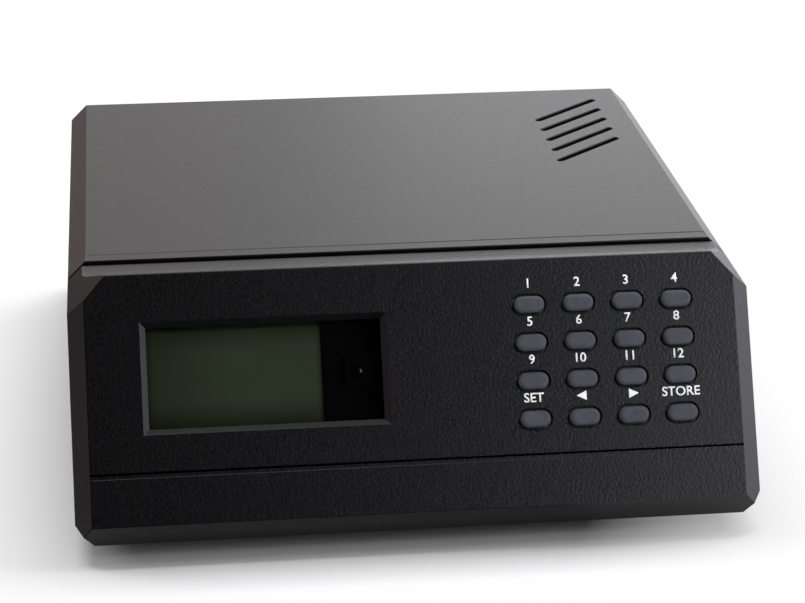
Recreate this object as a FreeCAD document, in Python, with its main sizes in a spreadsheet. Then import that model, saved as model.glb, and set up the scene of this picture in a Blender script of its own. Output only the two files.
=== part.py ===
"""Desktop antenna rotator controller: a sloped moulded front on a two-part case, with its inner works.

Frame: X to the right, Y to the back, Z up. The origin is the centre of the footprint, on the surface
that the feet stand on. All sizes are in millimetres and degrees.
"""
import FreeCAD, Part
import math
import os
import re
import Sketcher

Vector = FreeCAD.Vector
doc = FreeCAD.newDocument("RotatorController")

# ---------------------------------------------------------------- driving dimensions
SIZES = {
    # case
    "width": 200,             # over the side walls
    "cover_length": 152,      # from the seam behind the front moulding to the rear edge
    "body_height": 64.2,      # underside of the case to the flat top
    "foot_height": 4,         # the case stands this far off the table
    "wall": 2.4,              # moulded wall thickness
    "corner_cut": 5.4,        # 45 degree cuts along the four long edges
    "edge_round": 0.5,        # moulded rounding of outer edges
    "seam_gap": 1.6,          # shadow gap between the front moulding and the case
    "seam_bevel": 0.3,        # bevel along the cover's front edge
    "split_height": 34,       # the case parts at this height above the table
    "tongue_wall": 1.4,
    "tongue_length": 3,
    "fit": 0.2,               # clearance between moulded pieces
    "relief_length": 6.2,     # shallow step behind the seam on the cover
    "relief_drop": 0.12,
    # front moulding
    "brow_reach": 24.2,       # the brow stands this far in front of the seam
    "brow_rise": 5.8,         # and this far above the flat top
    "brow_round": 0.9,
    "valley_round": 18,       # where the lip turns up into the ramp
    "lip_length": 8.5,        # flat strip between the seam and the ramp to the brow
    "lip_drop": 0.95,         # it lies this far below the flat top
    "lean": 28.4,             # the face leans back from the vertical
    "face_length": 72.4,      # brow to the lower edge, along the slope
    "toe_setback": 1.2,       # foot of the front, behind the lower edge of the face
    "toe_drop": 6.31,         # and below it
    "bevel_width": 4.9,       # side bevels, measured across the face
    "bevel_depth": 3.9,       # and into the side wall
    "line_drop": 57.4,        # moulded line below the brow
    "line_width": 0.6,
    "line_depth": 0.5,
    # display opening
    "window_x": 56.1,         # in from the left side
    "window_drop": 30.4,
    "window_width": 67.8,
    "window_height": 29.2,
    "window_bevel": 1.7,
    "lens_overlap": 2,
    "lens_thickness": 1.5,
    # display
    "glass_width": 52,
    "glass_height": 33,
    "glass_x": 47.4,          # in from the left side, as are the next two
    "glass_thickness": 2.2,
    "backlight_thickness": 3,
    "frame_wall": 0.8,
    "frame_lip": 0.4,
    "frame_border": 0.8,
    "display_gap": 0.5,
    "board_thickness": 1.6,
    "display_board_width": 76,
    "display_board_height": 50,
    "display_board_x": 54,
    "receiver_x": 83.4,
    "receiver_depth": 3,
    "receiver_width": 7,
    "receiver_height": 8,
    "receiver_eye": 2.4,
    # keys
    "key_x": 66.3,            # first column, in from the right side
    "key_drop": 13.8,         # first row, below the brow
    "key_pitch_x": 14.53,
    "key_pitch_y": 11.15,
    "key_length": 9.0,
    "key_height": 4.9,
    "key_clearance": 0.75,    # between a key and its hole
    "key_proud": 1.8,
    "key_round": 1.2,
    "key_flange": 1.3,
    "key_flange_thickness": 0.8,
    "key_play": 0.1,
    "key_travel": 0.8,
    "dome_height": 0.6,
    "dome_radius": 2.1,
    "mat_thickness": 1,
    "mat_margin": 1.2,
    "key_board_margin": 8.2,
    "key_board_border": 2.8,
    # small screws and posts
    "post_radius": 3,
    "post_inset": 3.6,        # board edge to screw
    "boss_height": 5,         # under the straps' feet
    "boss_radius": 4,
    "screw_radius": 1.3,
    "screw_play": 0.1,
    "screw_head_radius": 2.6,
    "screw_head_height": 1.8,
    "screw_length": 6,
    "face_screw_length": 4,
    "case_screw_radius": 1.5,
    "case_screw_head": 3,
    "case_screw_head_height": 2.2,
    "case_screw_length": 22,
    "case_screw_grip": 12,
    "screw_runout": 2,        # hole past the tip of a screw
    "screw_tip": 1,           # thread that shows past the panel
    "case_post_radius": 4.6,
    "case_post_x": 12,        # from the side wall
    "case_post_y": 13,        # from the seam and from the rear panel's ribs
    # cooling slots
    "vent_count": 5,
    "vent_pitch": 10.6,
    "vent_x": 26.3,           # in from the right side
    "vent_y": 86.4,
    "vent_angle": 41.6,
    "vent_length": 32.5,
    "vent_width": 2.3,
    "vent_chamfer": 0.3,
    "floor_vent_count": 8,
    "floor_vent_pitch": 9,
    "floor_vent_length": 34,
    "floor_vent_width": 3,
    # feet
    "foot_radius": 7.5,
    "foot_taper": 1.2,
    "foot_inset_x": 26,
    "foot_inset_y": 18,
    "foot_pin_radius": 2.4,
    # rear panel and its terminals
    "panel_thickness": 2,
    "panel_recess": 3,
    "rib_wall": 1.3,
    "rib_height": 1.8,
    "terminal_count": 3,
    "terminal_pitch": 10,
    "terminal_x": 48,         # in from the right side
    "terminal_z": 30,
    "terminal_height": 18,
    "terminal_depth": 14,
    "terminal_base": 7,
    "terminal_rib": 1.6,
    "terminal_floor": 1,
    "terminal_screw_radius": 1.75,
    "terminal_head_radius": 3.2,
    "terminal_head_height": 2,
    "terminal_plate": 0.8,
    "gland_x": 38,            # in from the left side
    "gland_z": 24,
    "gland_bore": 3.3,
    "gland_body": 6,
    "gland_flange": 8,
    "gland_flange_thickness": 2.5,
    "gland_tail": 7,
    "panel_slot_width": 24,
    "panel_slot_height": 9,
    "ear_length": 7,
    "ear_thickness": 3,
    # main board and what it carries
    "standoff_height": 6,
    "standoff_radius": 3.2,
    "main_width": 96,
    "main_length": 108,
    "main_x": 66,             # in from the right side
    "main_y": 66,
    "relay_count": 3,
    "relay_pitch": 18,
    "relay_width": 15.5,
    "relay_length": 19,
    "relay_height": 15.5,
    "filter_radius": 8,
    "filter_height": 25,
    "filter_pitch": 20,
    "chip_length": 52,
    "chip_width": 14,
    "chip_height": 4,
    "socket_height": 4,
    "sink_width": 25,
    "sink_depth": 12,
    "sink_height": 26,
    "sink_fins": 5,
    "sink_fin": 1.4,
    "sink_back": 3,
    "regulator_width": 10,
    "regulator_height": 15,
    "regulator_thickness": 4.5,
    "regulator_lift": 3,
    "rectifier_radius": 5,
    "rectifier_height": 6,
    "crystal_length": 11,
    "crystal_width": 4.6,
    "crystal_height": 3.6,
    "fuse_radius": 2.6,
    "fuse_length": 20,
    "clip_wall": 0.5,
    "clip_length": 5,
    "clip_play": 0.05,
    "plug_length": 14,
    "plug_width": 6,
    "plug_height": 9,
    # transformer
    "core_x": 44,             # in from the left side
    "core_y": 96,
    "core_width": 60,
    "core_height": 50,
    "core_stack": 30,
    "core_leg": 10,
    "core_lift": 1,
    "coil_bulge": 9,
    "coil_play": 0.3,
    "strap_wall": 1.2,
    "strap_width": 20,
    "strap_foot": 9,
    "strap_screw_length": 5,
    # motor capacitor
    "motor_x": 44,            # in from the left side
    "motor_y": 36,
    "motor_radius": 15,
    "motor_length": 56,
    "motor_lift": 3,
    "saddle_width": 12,
}

sheet = doc.addObject("Spreadsheet::Sheet", "Sizes")
for row, (alias, size) in enumerate(SIZES.items(), start=1):
    sheet.set("A%d" % row, alias)
    sheet.set("B%d" % row, str(size))
    sheet.setAlias("B%d" % row, alias)
doc.recompute()


def formula(text):
    """Expression text with each size's name pointed at its cell."""
    return re.sub(r"[a-z_]+", lambda m: "Sizes." + m.group() if m.group() in SIZES else m.group(), str(text))


# places that several pieces share, as formulas
FRONT = "(brow_reach + face_length * sin(lean))"
REAR = "(cover_length + terminal_depth - panel_recess)"
SEAM = "((%s - %s) / 2)" % (FRONT, REAR)
TOP = "(foot_height + body_height)"
FLOOR = "(foot_height + wall)"
BOARD_TOP = "(%s + standoff_height + board_thickness)" % FLOOR
KEY_BACK = "(wall + key_play + key_flange_thickness + key_travel + fit)"
MAT_BACK = "(%s + dome_height + mat_thickness)" % KEY_BACK
GLASS_FRONT = "(wall + lens_thickness + display_gap)"
DISPLAY_BACK = "(%s + glass_thickness + backlight_thickness)" % GLASS_FRONT
WINDOW_X = "(window_x - width / 2)"
GLASS_X = "(glass_x - width / 2)"
BOARD_X = "(display_board_x - width / 2)"
RECEIVER_X = "(receiver_x - width / 2)"
FIRST_KEY_X = "(width / 2 - key_x)"
VENT_X = "(width / 2 - vent_x)"
TERMINAL_X = "(width / 2 - terminal_x)"
GLAND_X = "(gland_x - width / 2)"
MAIN_X = "(width / 2 - main_x)"
CORE_X = "(core_x - width / 2)"
MOTOR_X = "(motor_x - width / 2)"

finished = []


# ---------------------------------------------------------------- helpers
def bind(item, **places):
    """Bind properties to formulas. Double underscores in a name stand for dots."""
    for name, text in places.items():
        item.setExpression(name.replace("__", "."), formula(text))


def new_body(label, x="0", y=SEAM, z="0"):
    """A body whose own frame is set off from the shared one."""
    body = doc.addObject("PartDesign::Body", label)
    body.Label = label
    bind(body, Placement__Base__x=x, Placement__Base__y=y, Placement__Base__z=z)
    finished.append(body)
    return body


def face_body(label, x="0", drop="0", depth="0"):
    """A body in the frame of the sloping face: X right, Y up the slope, Z out of the face."""
    body = doc.addObject("PartDesign::Body", label)
    body.Label = label
    body.Placement = FreeCAD.Placement(Vector(), FreeCAD.Rotation(Vector(1, 0, 0), 60))
    bind(
        body,
        Placement__Rotation__Angle="90 - lean",
        Placement__Base__x=x,
        Placement__Base__y="%s - brow_reach - (%s) * sin(lean) + (%s) * cos(lean)" % (SEAM, drop, depth),
        Placement__Base__z="%s + brow_rise - (%s) * cos(lean) - (%s) * sin(lean)" % (TOP, drop, depth),
    )
    finished.append(body)
    return body


def new_sketch(body, plane, x="0", y="0", z="0", turn=None):
    """A sketch on one of the body's origin planes, set off and turned: turn is (axis, angle formula)."""
    sketch = body.newObject("Sketcher::SketchObject", "Sketch")
    support = [item for item in body.Origin.OriginFeatures if item.Role == plane + "_Plane"][0]
    sketch.AttachmentSupport = [(support, "")]
    sketch.MapMode = "FlatFace"
    if turn:
        sketch.AttachmentOffset = FreeCAD.Placement(Vector(), FreeCAD.Rotation(turn[0], 30))
        bind(sketch, AttachmentOffset__Rotation__Angle=turn[1])
    bind(sketch, AttachmentOffset__Base__x=x, AttachmentOffset__Base__y=y, AttachmentOffset__Base__z=z)
    return sketch


def hold(sketch, kind, text, *where):
    """A dimension of the sketch, bound to a formula."""
    index = sketch.addConstraint(Sketcher.Constraint(kind, *where, 1.0))
    sketch.setExpression("Constraints[%d]" % index, formula(text))


def polygon(sketch, points):
    """A closed outline whose corners are pairs of formulas."""
    first = sketch.GeometryCount
    count = len(points)
    angles = [2 * math.pi * n / count for n in range(count)]
    ring = [Vector(math.cos(angle), math.sin(angle), 0) for angle in angles]
    for n in range(count):
        sketch.addGeometry(Part.LineSegment(ring[n], ring[(n + 1) % count]), False)
    for n, (x, y) in enumerate(points):
        sketch.addConstraint(Sketcher.Constraint("Coincident", first + n, 2, first + (n + 1) % count, 1))
        hold(sketch, "DistanceX", x, -1, 1, first + n, 1)
        hold(sketch, "DistanceY", y, -1, 1, first + n, 1)


def rectangle(sketch, width, height, x="0", y="0"):
    """A rectangle about the point x, y."""
    left, right = ("(%s) %s (%s) / 2" % (x, sign, width) for sign in "-+")
    low, high = ("(%s) %s (%s) / 2" % (y, sign, height) for sign in "-+")
    polygon(sketch, [(left, low), (right, low), (right, high), (left, high)])


def circle(sketch, radius, x="0", y="0"):
    index = sketch.addGeometry(Part.Circle(Vector(1, 1, 0), Vector(0, 0, 1), 1), False)
    hold(sketch, "DistanceX", x, -1, 1, index, 3)
    hold(sketch, "DistanceY", y, -1, 1, index, 3)
    hold(sketch, "Radius", radius, index)


def stadium(sketch, length, height):
    """A slot outline with round ends, about the sketch's origin."""
    reach, radius = 4.0, 1.0
    for side in (-1, 1):
        line = Part.LineSegment(Vector(side * reach, side * radius, 0), Vector(-side * reach, side * radius, 0))
        sketch.addGeometry(line, False)
    for side in (1, -1):
        cap = Part.Circle(Vector(side * reach, 0, 0), Vector(0, 0, 1), radius)
        turn = -math.pi / 2 if side > 0 else math.pi / 2
        sketch.addGeometry(Part.ArcOfCircle(cap, turn, turn + math.pi), False)
    for line, line_end, arc, arc_end in ((0, 2, 2, 1), (2, 2, 1, 1), (1, 2, 3, 1), (3, 2, 0, 1)):
        sketch.addConstraint(Sketcher.Constraint("Tangent", line, line_end, arc, arc_end))
    sketch.addConstraint(Sketcher.Constraint("PointOnObject", 2, 3, -1))
    sketch.addConstraint(Sketcher.Constraint("Horizontal", 0))
    sketch.addConstraint(Sketcher.Constraint("Symmetric", 2, 3, 3, 3, -1, 1))
    hold(sketch, "Radius", "(%s) / 2" % height, 2)
    hold(sketch, "DistanceX", "(%s) - (%s)" % (length, height), 3, 3, 2, 3)


def extrude(body, kind, sketch, length, both=False, flip=False):
    """A pad or pocket of the sketch, along its normal, against it with flip, or evenly both ways."""
    feature = body.newObject("PartDesign::" + kind, kind)
    feature.Profile = sketch
    feature.Reversed = flip
    if both:
        feature.SideType = "Symmetric"
    bind(feature, Length=length)
    sketch.Visibility = False
    return feature


def pad(body, sketch, length, both=False, flip=False):
    return extrude(body, "Pad", sketch, length, both, flip)


def pocket(body, sketch, length, both=False, flip=False):
    return extrude(body, "Pocket", sketch, length, both, flip)


def repeat(body, feature, axis, step, count, second=None):
    """Copies of a feature along one of the body's axes, or along two: second is (axis, step, count)."""
    pattern = body.newObject("PartDesign::LinearPattern", "Pattern")
    pattern.Originals = [feature]
    pattern.Direction = (body_axis(body, axis), [""])
    bind(pattern, Length="(%s) * (%s - 1)" % (step, count), Occurrences=count)
    if second:
        pattern.Direction2 = (body_axis(body, second[0]), [""])
        bind(pattern, Length2="(%s) * (%s - 1)" % second[1:], Occurrences2=second[2])
    body.Tip = pattern
    return pattern


def body_axis(body, name):
    return [item for item in body.Origin.OriginFeatures if item.Role == name + "_Axis"][0]


def edges_where(feature, test):
    """Names of the edges whose middle passes the test, which also gets the shape's box."""
    doc.recompute()
    box = feature.Shape.BoundBox
    return ["Edge%d" % n for n, edge in enumerate(feature.Shape.Edges, start=1) if test(edge_middle(edge), box)]


def edge_middle(edge):
    return edge.valueAt((edge.FirstParameter + edge.LastParameter) / 2)


def dress(body, kind, size, test):
    """A fillet or chamfer on the body's edges that pass the test."""
    base = body.Tip
    names = edges_where(base, test)
    feature = body.newObject("PartDesign::" + kind, kind)
    feature.Base = (base, names)
    bind(feature, **{"Radius" if kind == "Fillet" else "Size": size})
    return feature


def near(value, target, room=0.02):
    return abs(value - target) < room


def slab(label, width, length, height, x="0", y="0", z="0"):
    """A plain block that stands on z, with its middle at x, y from the seam."""
    body = new_body(label)
    sketch = new_sketch(body, "XY", z=z)
    rectangle(sketch, width, length, x, y)
    pad(body, sketch, height)
    return body


# ---------------------------------------------------------------- the case's section
def cut_leg(inset):
    """Leg of the 45 degree corner cut, on a wall line set in by inset."""
    return "(corner_cut - (%s) * (2 - sqrt(2)))" % inset


def mirrored(points):
    """The points on the other side of the middle, in reversed order."""
    return [("-" + x, y) for x, y in reversed(points)]


def half_ring(upper, outer, inner, base):
    """Open-ended wall section between two insets, from the height base to the top or the underside."""
    line = TOP if upper else "foot_height"
    sign = "-" if upper else "+"

    def corners(inset):
        side = "(width / 2 - (%s))" % inset
        level = "(%s %s (%s))" % (line, sign, inset)
        leg = cut_leg(inset)
        shoulder = "(%s %s %s)" % (level, sign, leg)
        return [(side, base), (side, shoulder), ("(%s - %s)" % (side, leg), level)]

    right_out = corners(outer)
    right_in = corners(inner)
    return right_out + mirrored(right_out) + mirrored(right_in)[::-1] + right_in[::-1]


def full_ring(inset):
    """The whole eight-sided outline of the case, set in by inset."""
    side = "(width / 2 - (%s))" % inset
    leg = cut_leg(inset)
    high = "(%s - (%s))" % (TOP, inset)
    low = "(foot_height + (%s))" % inset
    right = [(side, "%s + %s" % (low, leg)), (side, "%s - %s" % (high, leg)), ("(%s - %s)" % (side, leg), high)]
    return right + mirrored(right) + [("-(%s - %s)" % (side, leg), low), ("(%s - %s)" % (side, leg), low)]


SIDES = ("-", "")
RIB_FRONT = "(cover_length - panel_recess - panel_thickness - fit / 2)"
RIB_REAR = "(cover_length - panel_recess + fit / 2)"
POST_X = "(width / 2 - case_post_x)"
POST_YS = ("case_post_y", "(%s - case_post_y)" % RIB_FRONT)


def shell(label, upper):
    """Half of the case: a wall section run along Y, with the two ribs that hold the rear panel."""
    body = new_body(label)
    section = new_sketch(body, "XZ", z="-seam_gap")
    polygon(section, half_ring(upper, "0", "wall", "split_height"))
    pad(body, section, "cover_length - seam_gap", flip=True)
    for start in ("%s - rib_wall" % RIB_FRONT, RIB_REAR):
        rib = new_sketch(body, "XZ", z="-(%s)" % start)
        polygon(rib, half_ring(upper, "wall / 2", "wall + rib_height", "split_height"))
        pad(body, rib, "rib_wall", flip=True)
    return body


def round_long_edges(body, level, inward):
    """Round the four long outer edges of a shell: level is its outer face, inward points to the split."""
    side = SIZES["width"] / 2
    cut = SIZES["corner_cut"]
    rows = ((side, level + inward * cut), (side - cut, level))
    dress(body, "Fillet", "edge_round", lambda p, box: any(near(abs(p.x), x) and near(p.z, z) for x, z in rows))


def build_top_cover():
    body = shell("top_cover", True)
    round_long_edges(body, SIZES["foot_height"] + SIZES["body_height"], -1)
    # the strip behind the seam sits a hair lower than the rest of the top, and its front edge is bevelled
    relief = new_sketch(body, "YZ")
    level = "(%s - relief_drop)" % TOP
    ramp = "relief_length + relief_drop * 4"
    over = "%s + wall" % TOP
    nose = level + " - seam_bevel"
    polygon(relief, [("0", nose), ("seam_gap", nose), ("seam_gap + seam_bevel", level), ("relief_length", level),
                     (ramp, TOP), (ramp, over), ("0", over)])
    pocket(body, relief, "width", both=True)
    # slanted cooling slots
    slot = new_sketch(body, "XY", x=VENT_X, y="vent_y", z=TOP, turn=(Vector(0, 0, 1), "vent_angle"))
    stadium(slot, "vent_length", "vent_width")
    vent = pocket(body, slot, "wall * 3", both=True)
    repeat(body, vent, "Y", "vent_pitch", "vent_count")
    top = SIZES["foot_height"] + SIZES["body_height"]
    dress(body, "Chamfer", "vent_chamfer", lambda p, box: near(p.z, top) and in_vents(p))
    # screw bosses hang from the top
    post_pads(body, "split_height", "%s - wall / 2 - split_height" % TOP)
    thread = "case_screw_length - case_screw_grip + screw_runout"
    post_holes(body, "split_height", "case_screw_radius + screw_play", thread)


def in_vents(point):
    """True over the field of cooling slots, clear of the cover's own edges."""
    reach = SIZES["vent_length"] / 2
    x = point.x - SIZES["width"] / 2 + SIZES["vent_x"]
    last = SIZES["vent_y"] + SIZES["vent_pitch"] * (SIZES["vent_count"] - 1)
    return abs(x) < reach and SIZES["vent_y"] - reach < point.y < last + reach


def post_circles(body, level, radius):
    """Circles at the four case screws."""
    sketch = new_sketch(body, "XY", z=level)
    for side in SIDES:
        for y in POST_YS:
            circle(sketch, radius, side + POST_X, y)
    return sketch


def post_pads(body, level, height):
    pad(body, post_circles(body, level, "case_post_radius"), height)


def post_holes(body, level, radius, depth):
    pocket(body, post_circles(body, level, radius), depth, flip=True)


def build_bottom_case():
    body = shell("bottom_case", False)
    round_long_edges(body, SIZES["foot_height"], 1)
    inside = "foot_height + wall / 2"
    post_pads(body, inside, "split_height - (%s)" % inside)
    # deep counterbores for the case screws, then their clearance holes
    post_holes(body, "foot_height", "case_screw_head + fit", "split_height - case_screw_grip - foot_height")
    post_holes(body, "foot_height", "case_screw_radius + screw_play", "split_height - foot_height")
    # standoffs under the main board, and bosses under the straps' feet
    for points, radius, height in ((board_corners(), "standoff_radius", "standoff_height"),
                                   (strap_feet(), "boss_radius", "boss_height")):
        stands = new_sketch(body, "XY", z=inside)
        pilots = new_sketch(body, "XY", z=FLOOR)
        for x, y in points:
            circle(stands, radius, x, y)
            circle(pilots, "screw_radius + screw_play", x, y)
        pad(body, stands, "%s + wall / 2" % height)
        pocket(body, pilots, height, flip=True)
    # low blocks that carry the transformer and the motor capacitor
    block = new_sketch(body, "XY", z=inside)
    rectangle(block, "core_width", "core_stack", CORE_X, "core_y")
    pad(body, block, "wall / 2 + core_lift")
    for side in "-+":
        saddle = new_sketch(body, "XY", z=inside)
        place = "%s %s motor_length / 3" % (MOTOR_X, side)
        rectangle(saddle, "saddle_width", "motor_radius * 1.4", place, "motor_y")
        pad(body, saddle, "wall / 2 + motor_radius * 0.6")
    groove = new_sketch(body, "YZ", z=MOTOR_X)
    circle(groove, "motor_radius + clip_play", "motor_y", MOTOR_Z)
    pocket(body, groove, "motor_length + wall", both=True)
    # cooling slots in the floor, under the board
    slot = new_sketch(body, "XY", x="%s - floor_vent_pitch * (floor_vent_count - 1) / 2" % MAIN_X, y="main_y",
                      z="foot_height + wall / 2", turn=(Vector(0, 0, 1), "90"))
    stadium(slot, "floor_vent_length", "floor_vent_width")
    vent = pocket(body, slot, "wall * 2", both=True)
    repeat(body, vent, "X", "floor_vent_pitch", "floor_vent_count")
    # holes for the pins of the feet
    pins = new_sketch(body, "XY", z="foot_height")
    for x, y in foot_places():
        circle(pins, "foot_pin_radius + screw_play", x, y)
    pocket(body, pins, "wall", flip=True)


def board_corners():
    return corner_points(MAIN_X, "main_y", "main_width", "main_length")


def strap_feet():
    """Screw places of the transformer's strap, then of the motor capacitor's."""
    core_reach = "(core_width / 2 + coil_play + strap_wall + strap_foot / 2)"
    motor_reach = "(motor_radius + fit / 2 + strap_wall + strap_foot / 2)"
    core = [("%s %s %s" % (CORE_X, side, core_reach), "core_y") for side in "-+"]
    return core + [(MOTOR_X, "motor_y %s %s" % (side, motor_reach)) for side in "-+"]


def foot_places():
    return [(side + "(width / 2 - foot_inset_x)", y) for side in SIDES
            for y in ("foot_inset_y", "cover_length - foot_inset_y")]


# ---------------------------------------------------------------- front moulding
def face_sketch(body, x, drop, depth):
    """A sketch on the sloping face of the front: x right, y up the slope."""
    y = "%s + brow_rise - (%s) * cos(lean) - (%s) * sin(lean)" % (TOP, drop, depth)
    z = "brow_reach + (%s) * sin(lean) - (%s) * cos(lean)" % (drop, depth)
    return new_sketch(body, "XZ", x=x, y=y, z=z, turn=(Vector(1, 0, 0), "-lean"))


def front_profile():
    """Side view of the front: seam, lip, brow, foot of the face, toe, and back along the floor."""
    face_low_y = "(-brow_reach - face_length * sin(lean))"
    face_low_z = "(%s + brow_rise - face_length * cos(lean))" % TOP
    lip = "%s - lip_drop" % TOP
    return [("0", lip), ("-lip_length", lip), ("-brow_reach", "%s + brow_rise" % TOP),
            (face_low_y, face_low_z), ("%s + toe_setback" % face_low_y, "%s - toe_drop" % face_low_z),
            ("0", "foot_height")]


def build_front_bezel():
    body = new_body("front_bezel")
    profile = new_sketch(body, "YZ")
    polygon(profile, front_profile())
    pad(body, profile, "width", both=True)
    # bevels down both sides of the face: a wedge run along the slope
    wedge = new_sketch(body, "XY", y="-brow_reach", z="%s + brow_rise" % TOP, turn=(Vector(1, 0, 0), "-lean"))
    for side in SIDES:
        polygon(wedge, [(side + "(width / 2 - bevel_width * 2)", "-bevel_depth"),
                        (side + "(width / 2 + bevel_width)", "-bevel_depth"),
                        (side + "(width / 2 + bevel_width)", "bevel_depth * 2")])
    pocket(body, wedge, "face_length * 4", both=True)
    # the case's corner cuts run on over the front, up past the brow
    corners = new_sketch(body, "XZ")
    beyond = "(width / 2 + wall)"
    for side in SIDES:
        high = "(%s + brow_rise + wall)" % TOP
        deep = "toe_drop * 2"
        shoulder = "foot_height + corner_cut + wall"
        polygon(corners, [(side + beyond, "%s - corner_cut - wall" % TOP), (side + beyond, high),
                          (side + "(width / 2 - corner_cut - brow_rise - wall)", high)])
        polygon(corners, [(side + beyond, shoulder), (side + beyond, "foot_height - " + deep),
                          (side + "(width / 2 - corner_cut - %s)" % deep, "foot_height - " + deep)])
    pocket(body, corners, "%s * 4" % FRONT, both=True)
    # hollow it from the back
    doc.recompute()
    block = body.Tip
    back = ["Face%d" % n for n, face in enumerate(block.Shape.Faces, start=1)
            if at_seam(face.CenterOfMass)]
    hollow = body.newObject("PartDesign::Thickness", "Hollow")
    hollow.Base = (block, back)
    hollow.Reversed = True
    hollow.Join = "Intersection"
    bind(hollow, Value="wall")
    round_front(body, block.Shape)
    # a rim behind the seam that the case closes over
    for outer, start, length in (("wall * 3 / 4", "-wall * 3", "wall * 3"),
                                 ("wall + fit", "-wall", "wall + seam_gap + tongue_length")):
        rim = new_sketch(body, "XZ", z="-(%s)" % start)
        polygon(rim, full_ring(outer))
        polygon(rim, full_ring("wall + fit + tongue_wall"))
        pad(body, rim, length, flip=True)
    # display opening with its bevelled edge
    opening = face_sketch(body, WINDOW_X, "window_drop", "0")
    rectangle(opening, "window_width", "window_height")
    pocket(body, opening, "wall * 4", both=True)
    bevel_edges(body)
    # moulded line across the face
    line = face_sketch(body, "0", "line_drop", "0")
    rectangle(line, "width - bevel_width * 2", "line_width")
    pocket(body, line, "line_depth * 2", both=True)
    # key holes
    hole = face_sketch(body, FIRST_KEY_X, "key_drop", "0")
    stadium(hole, "key_length + key_clearance * 2", "key_height + key_clearance * 2")
    cut = pocket(body, hole, "wall * 4", both=True)
    grid = body.newObject("PartDesign::LinearPattern", "KeyHoles")
    grid.Originals = [cut]
    grid.Direction = (hole, ["H_Axis"])
    grid.Direction2 = (hole, ["V_Axis"])
    grid.Reversed2 = True
    grid.Occurrences = COLUMNS
    grid.Occurrences2 = ROWS
    bind(grid, Length="key_pitch_x * %d" % (COLUMNS - 1), Length2="key_pitch_y * %d" % (ROWS - 1))
    body.Tip = grid
    # posts for the two boards behind the face
    for points, back_depth in ((display_posts(), DISPLAY_BACK), (key_posts(), MAT_BACK)):
        posts = face_sketch(body, "0", "0", "wall / 2")
        pilots = face_sketch(body, "0", "0", back_depth)
        for x, drop in points:
            circle(posts, "post_radius", x, "-(%s)" % drop)
            circle(pilots, "screw_radius + screw_play", x, "-(%s)" % drop)
        pad(body, posts, "%s - wall / 2" % back_depth, flip=True)
        pocket(body, pilots, "%s - wall" % back_depth, flip=True)


def round_front(body, block):
    """Round the outside of the hollow front: valley, brow, then every other outer edge."""
    block_edges = Part.Compound([edge for edge in block.Edges if not at_seam(edge_middle(edge))])
    level = SIZES["foot_height"] + SIZES["body_height"]
    valley = Vector(0, -SIZES["lip_length"], level - SIZES["lip_drop"])
    brow = Vector(0, -SIZES["brow_reach"], level + SIZES["brow_rise"])

    def in_valley(point, box):
        return near(point.distanceToPoint(valley), 0)

    def on_brow(point, box):
        return near(point.distanceToPoint(brow), 0)

    def outer(point, box):
        beside_brow = near(point.x, 0) and near(point.y, -SIZES["brow_reach"], SIZES["brow_round"])
        beside_valley = near(point.x, 0) and near(point.y, -SIZES["lip_length"], SIZES["lip_length"] / 2)
        away = block_edges.distToShape(Part.Vertex(point))[0]
        return away < SIZES["edge_round"] and not (at_seam(point) or beside_brow or beside_valley)
    dress(body, "Fillet", "valley_round", in_valley)
    dress(body, "Fillet", "brow_round", on_brow)
    dress(body, "Fillet", "edge_round", outer)


def at_seam(point):
    """True in the plane of the front moulding's back edge."""
    return near(point.y, 0)


def bevel_edges(body):
    """Chamfer the four outer edges of the display opening."""
    lean = math.radians(SIZES["lean"])
    brow = Vector(0, -SIZES["brow_reach"], SIZES["foot_height"] + SIZES["body_height"] + SIZES["brow_rise"])
    out = Vector(0, -math.cos(lean), math.sin(lean))
    up = Vector(0, math.sin(lean), math.cos(lean))
    reach_x = SIZES["window_width"] / 2
    reach_y = SIZES["window_height"] / 2

    def on_rim(point, box):
        x = point.x - SIZES["window_x"] + SIZES["width"] / 2
        y = (point - brow).dot(up) + SIZES["window_drop"]
        on_face = near((point - brow).dot(out), 0)
        return on_face and max(abs(x) - reach_x, abs(y) - reach_y) < 0.02 and abs(x) + abs(y) < reach_x + reach_y
    dress(body, "Chamfer", "window_bevel", on_rim)


COLUMNS = 4
ROWS = 4
KEYS_WIDE = "(key_pitch_x * %d + key_length + key_flange * 2)" % (COLUMNS - 1)
KEYS_HIGH = "(key_pitch_y * %d + key_height + key_flange * 2)" % (ROWS - 1)
KEYS_X = "(%s + key_pitch_x * %s)" % (FIRST_KEY_X, (COLUMNS - 1) / 2)
KEYS_DROP = "(key_drop + key_pitch_y * %s)" % ((ROWS - 1) / 2)
KEY_BOARD_WIDTH = "(%s + mat_margin * 2 + key_board_margin * 2)" % KEYS_WIDE
KEY_BOARD_HEIGHT = "(%s + mat_margin * 2 + key_board_border * 2)" % KEYS_HIGH


def corner_points(x, y, width, height):
    """Screw places of a board behind the face."""
    return [("%s %s (%s / 2 - post_inset)" % (x, sx, width), "%s %s (%s / 2 - post_inset)" % (y, sy, height))
            for sx in "-+" for sy in "-+"]


def display_posts():
    return corner_points(BOARD_X, "window_drop", "display_board_width", "display_board_height")


def key_posts():
    return corner_points(KEYS_X, KEYS_DROP, KEY_BOARD_WIDTH, KEY_BOARD_HEIGHT)


# ---------------------------------------------------------------- display
def face_slab(label, x, drop, front, width, height, thickness, posts=()):
    """A flat piece behind the face, its front surface front deep, with screw holes at the posts."""
    body = face_body(label)
    outline = new_sketch(body, "XY", z="-(%s)" % front)
    rectangle(outline, width, height, x, "-(%s)" % drop)
    for hole_x, hole_drop in posts:
        circle(outline, "screw_radius + screw_play", hole_x, "-(%s)" % hole_drop)
    pad(body, outline, thickness, flip=True)
    return body


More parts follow.
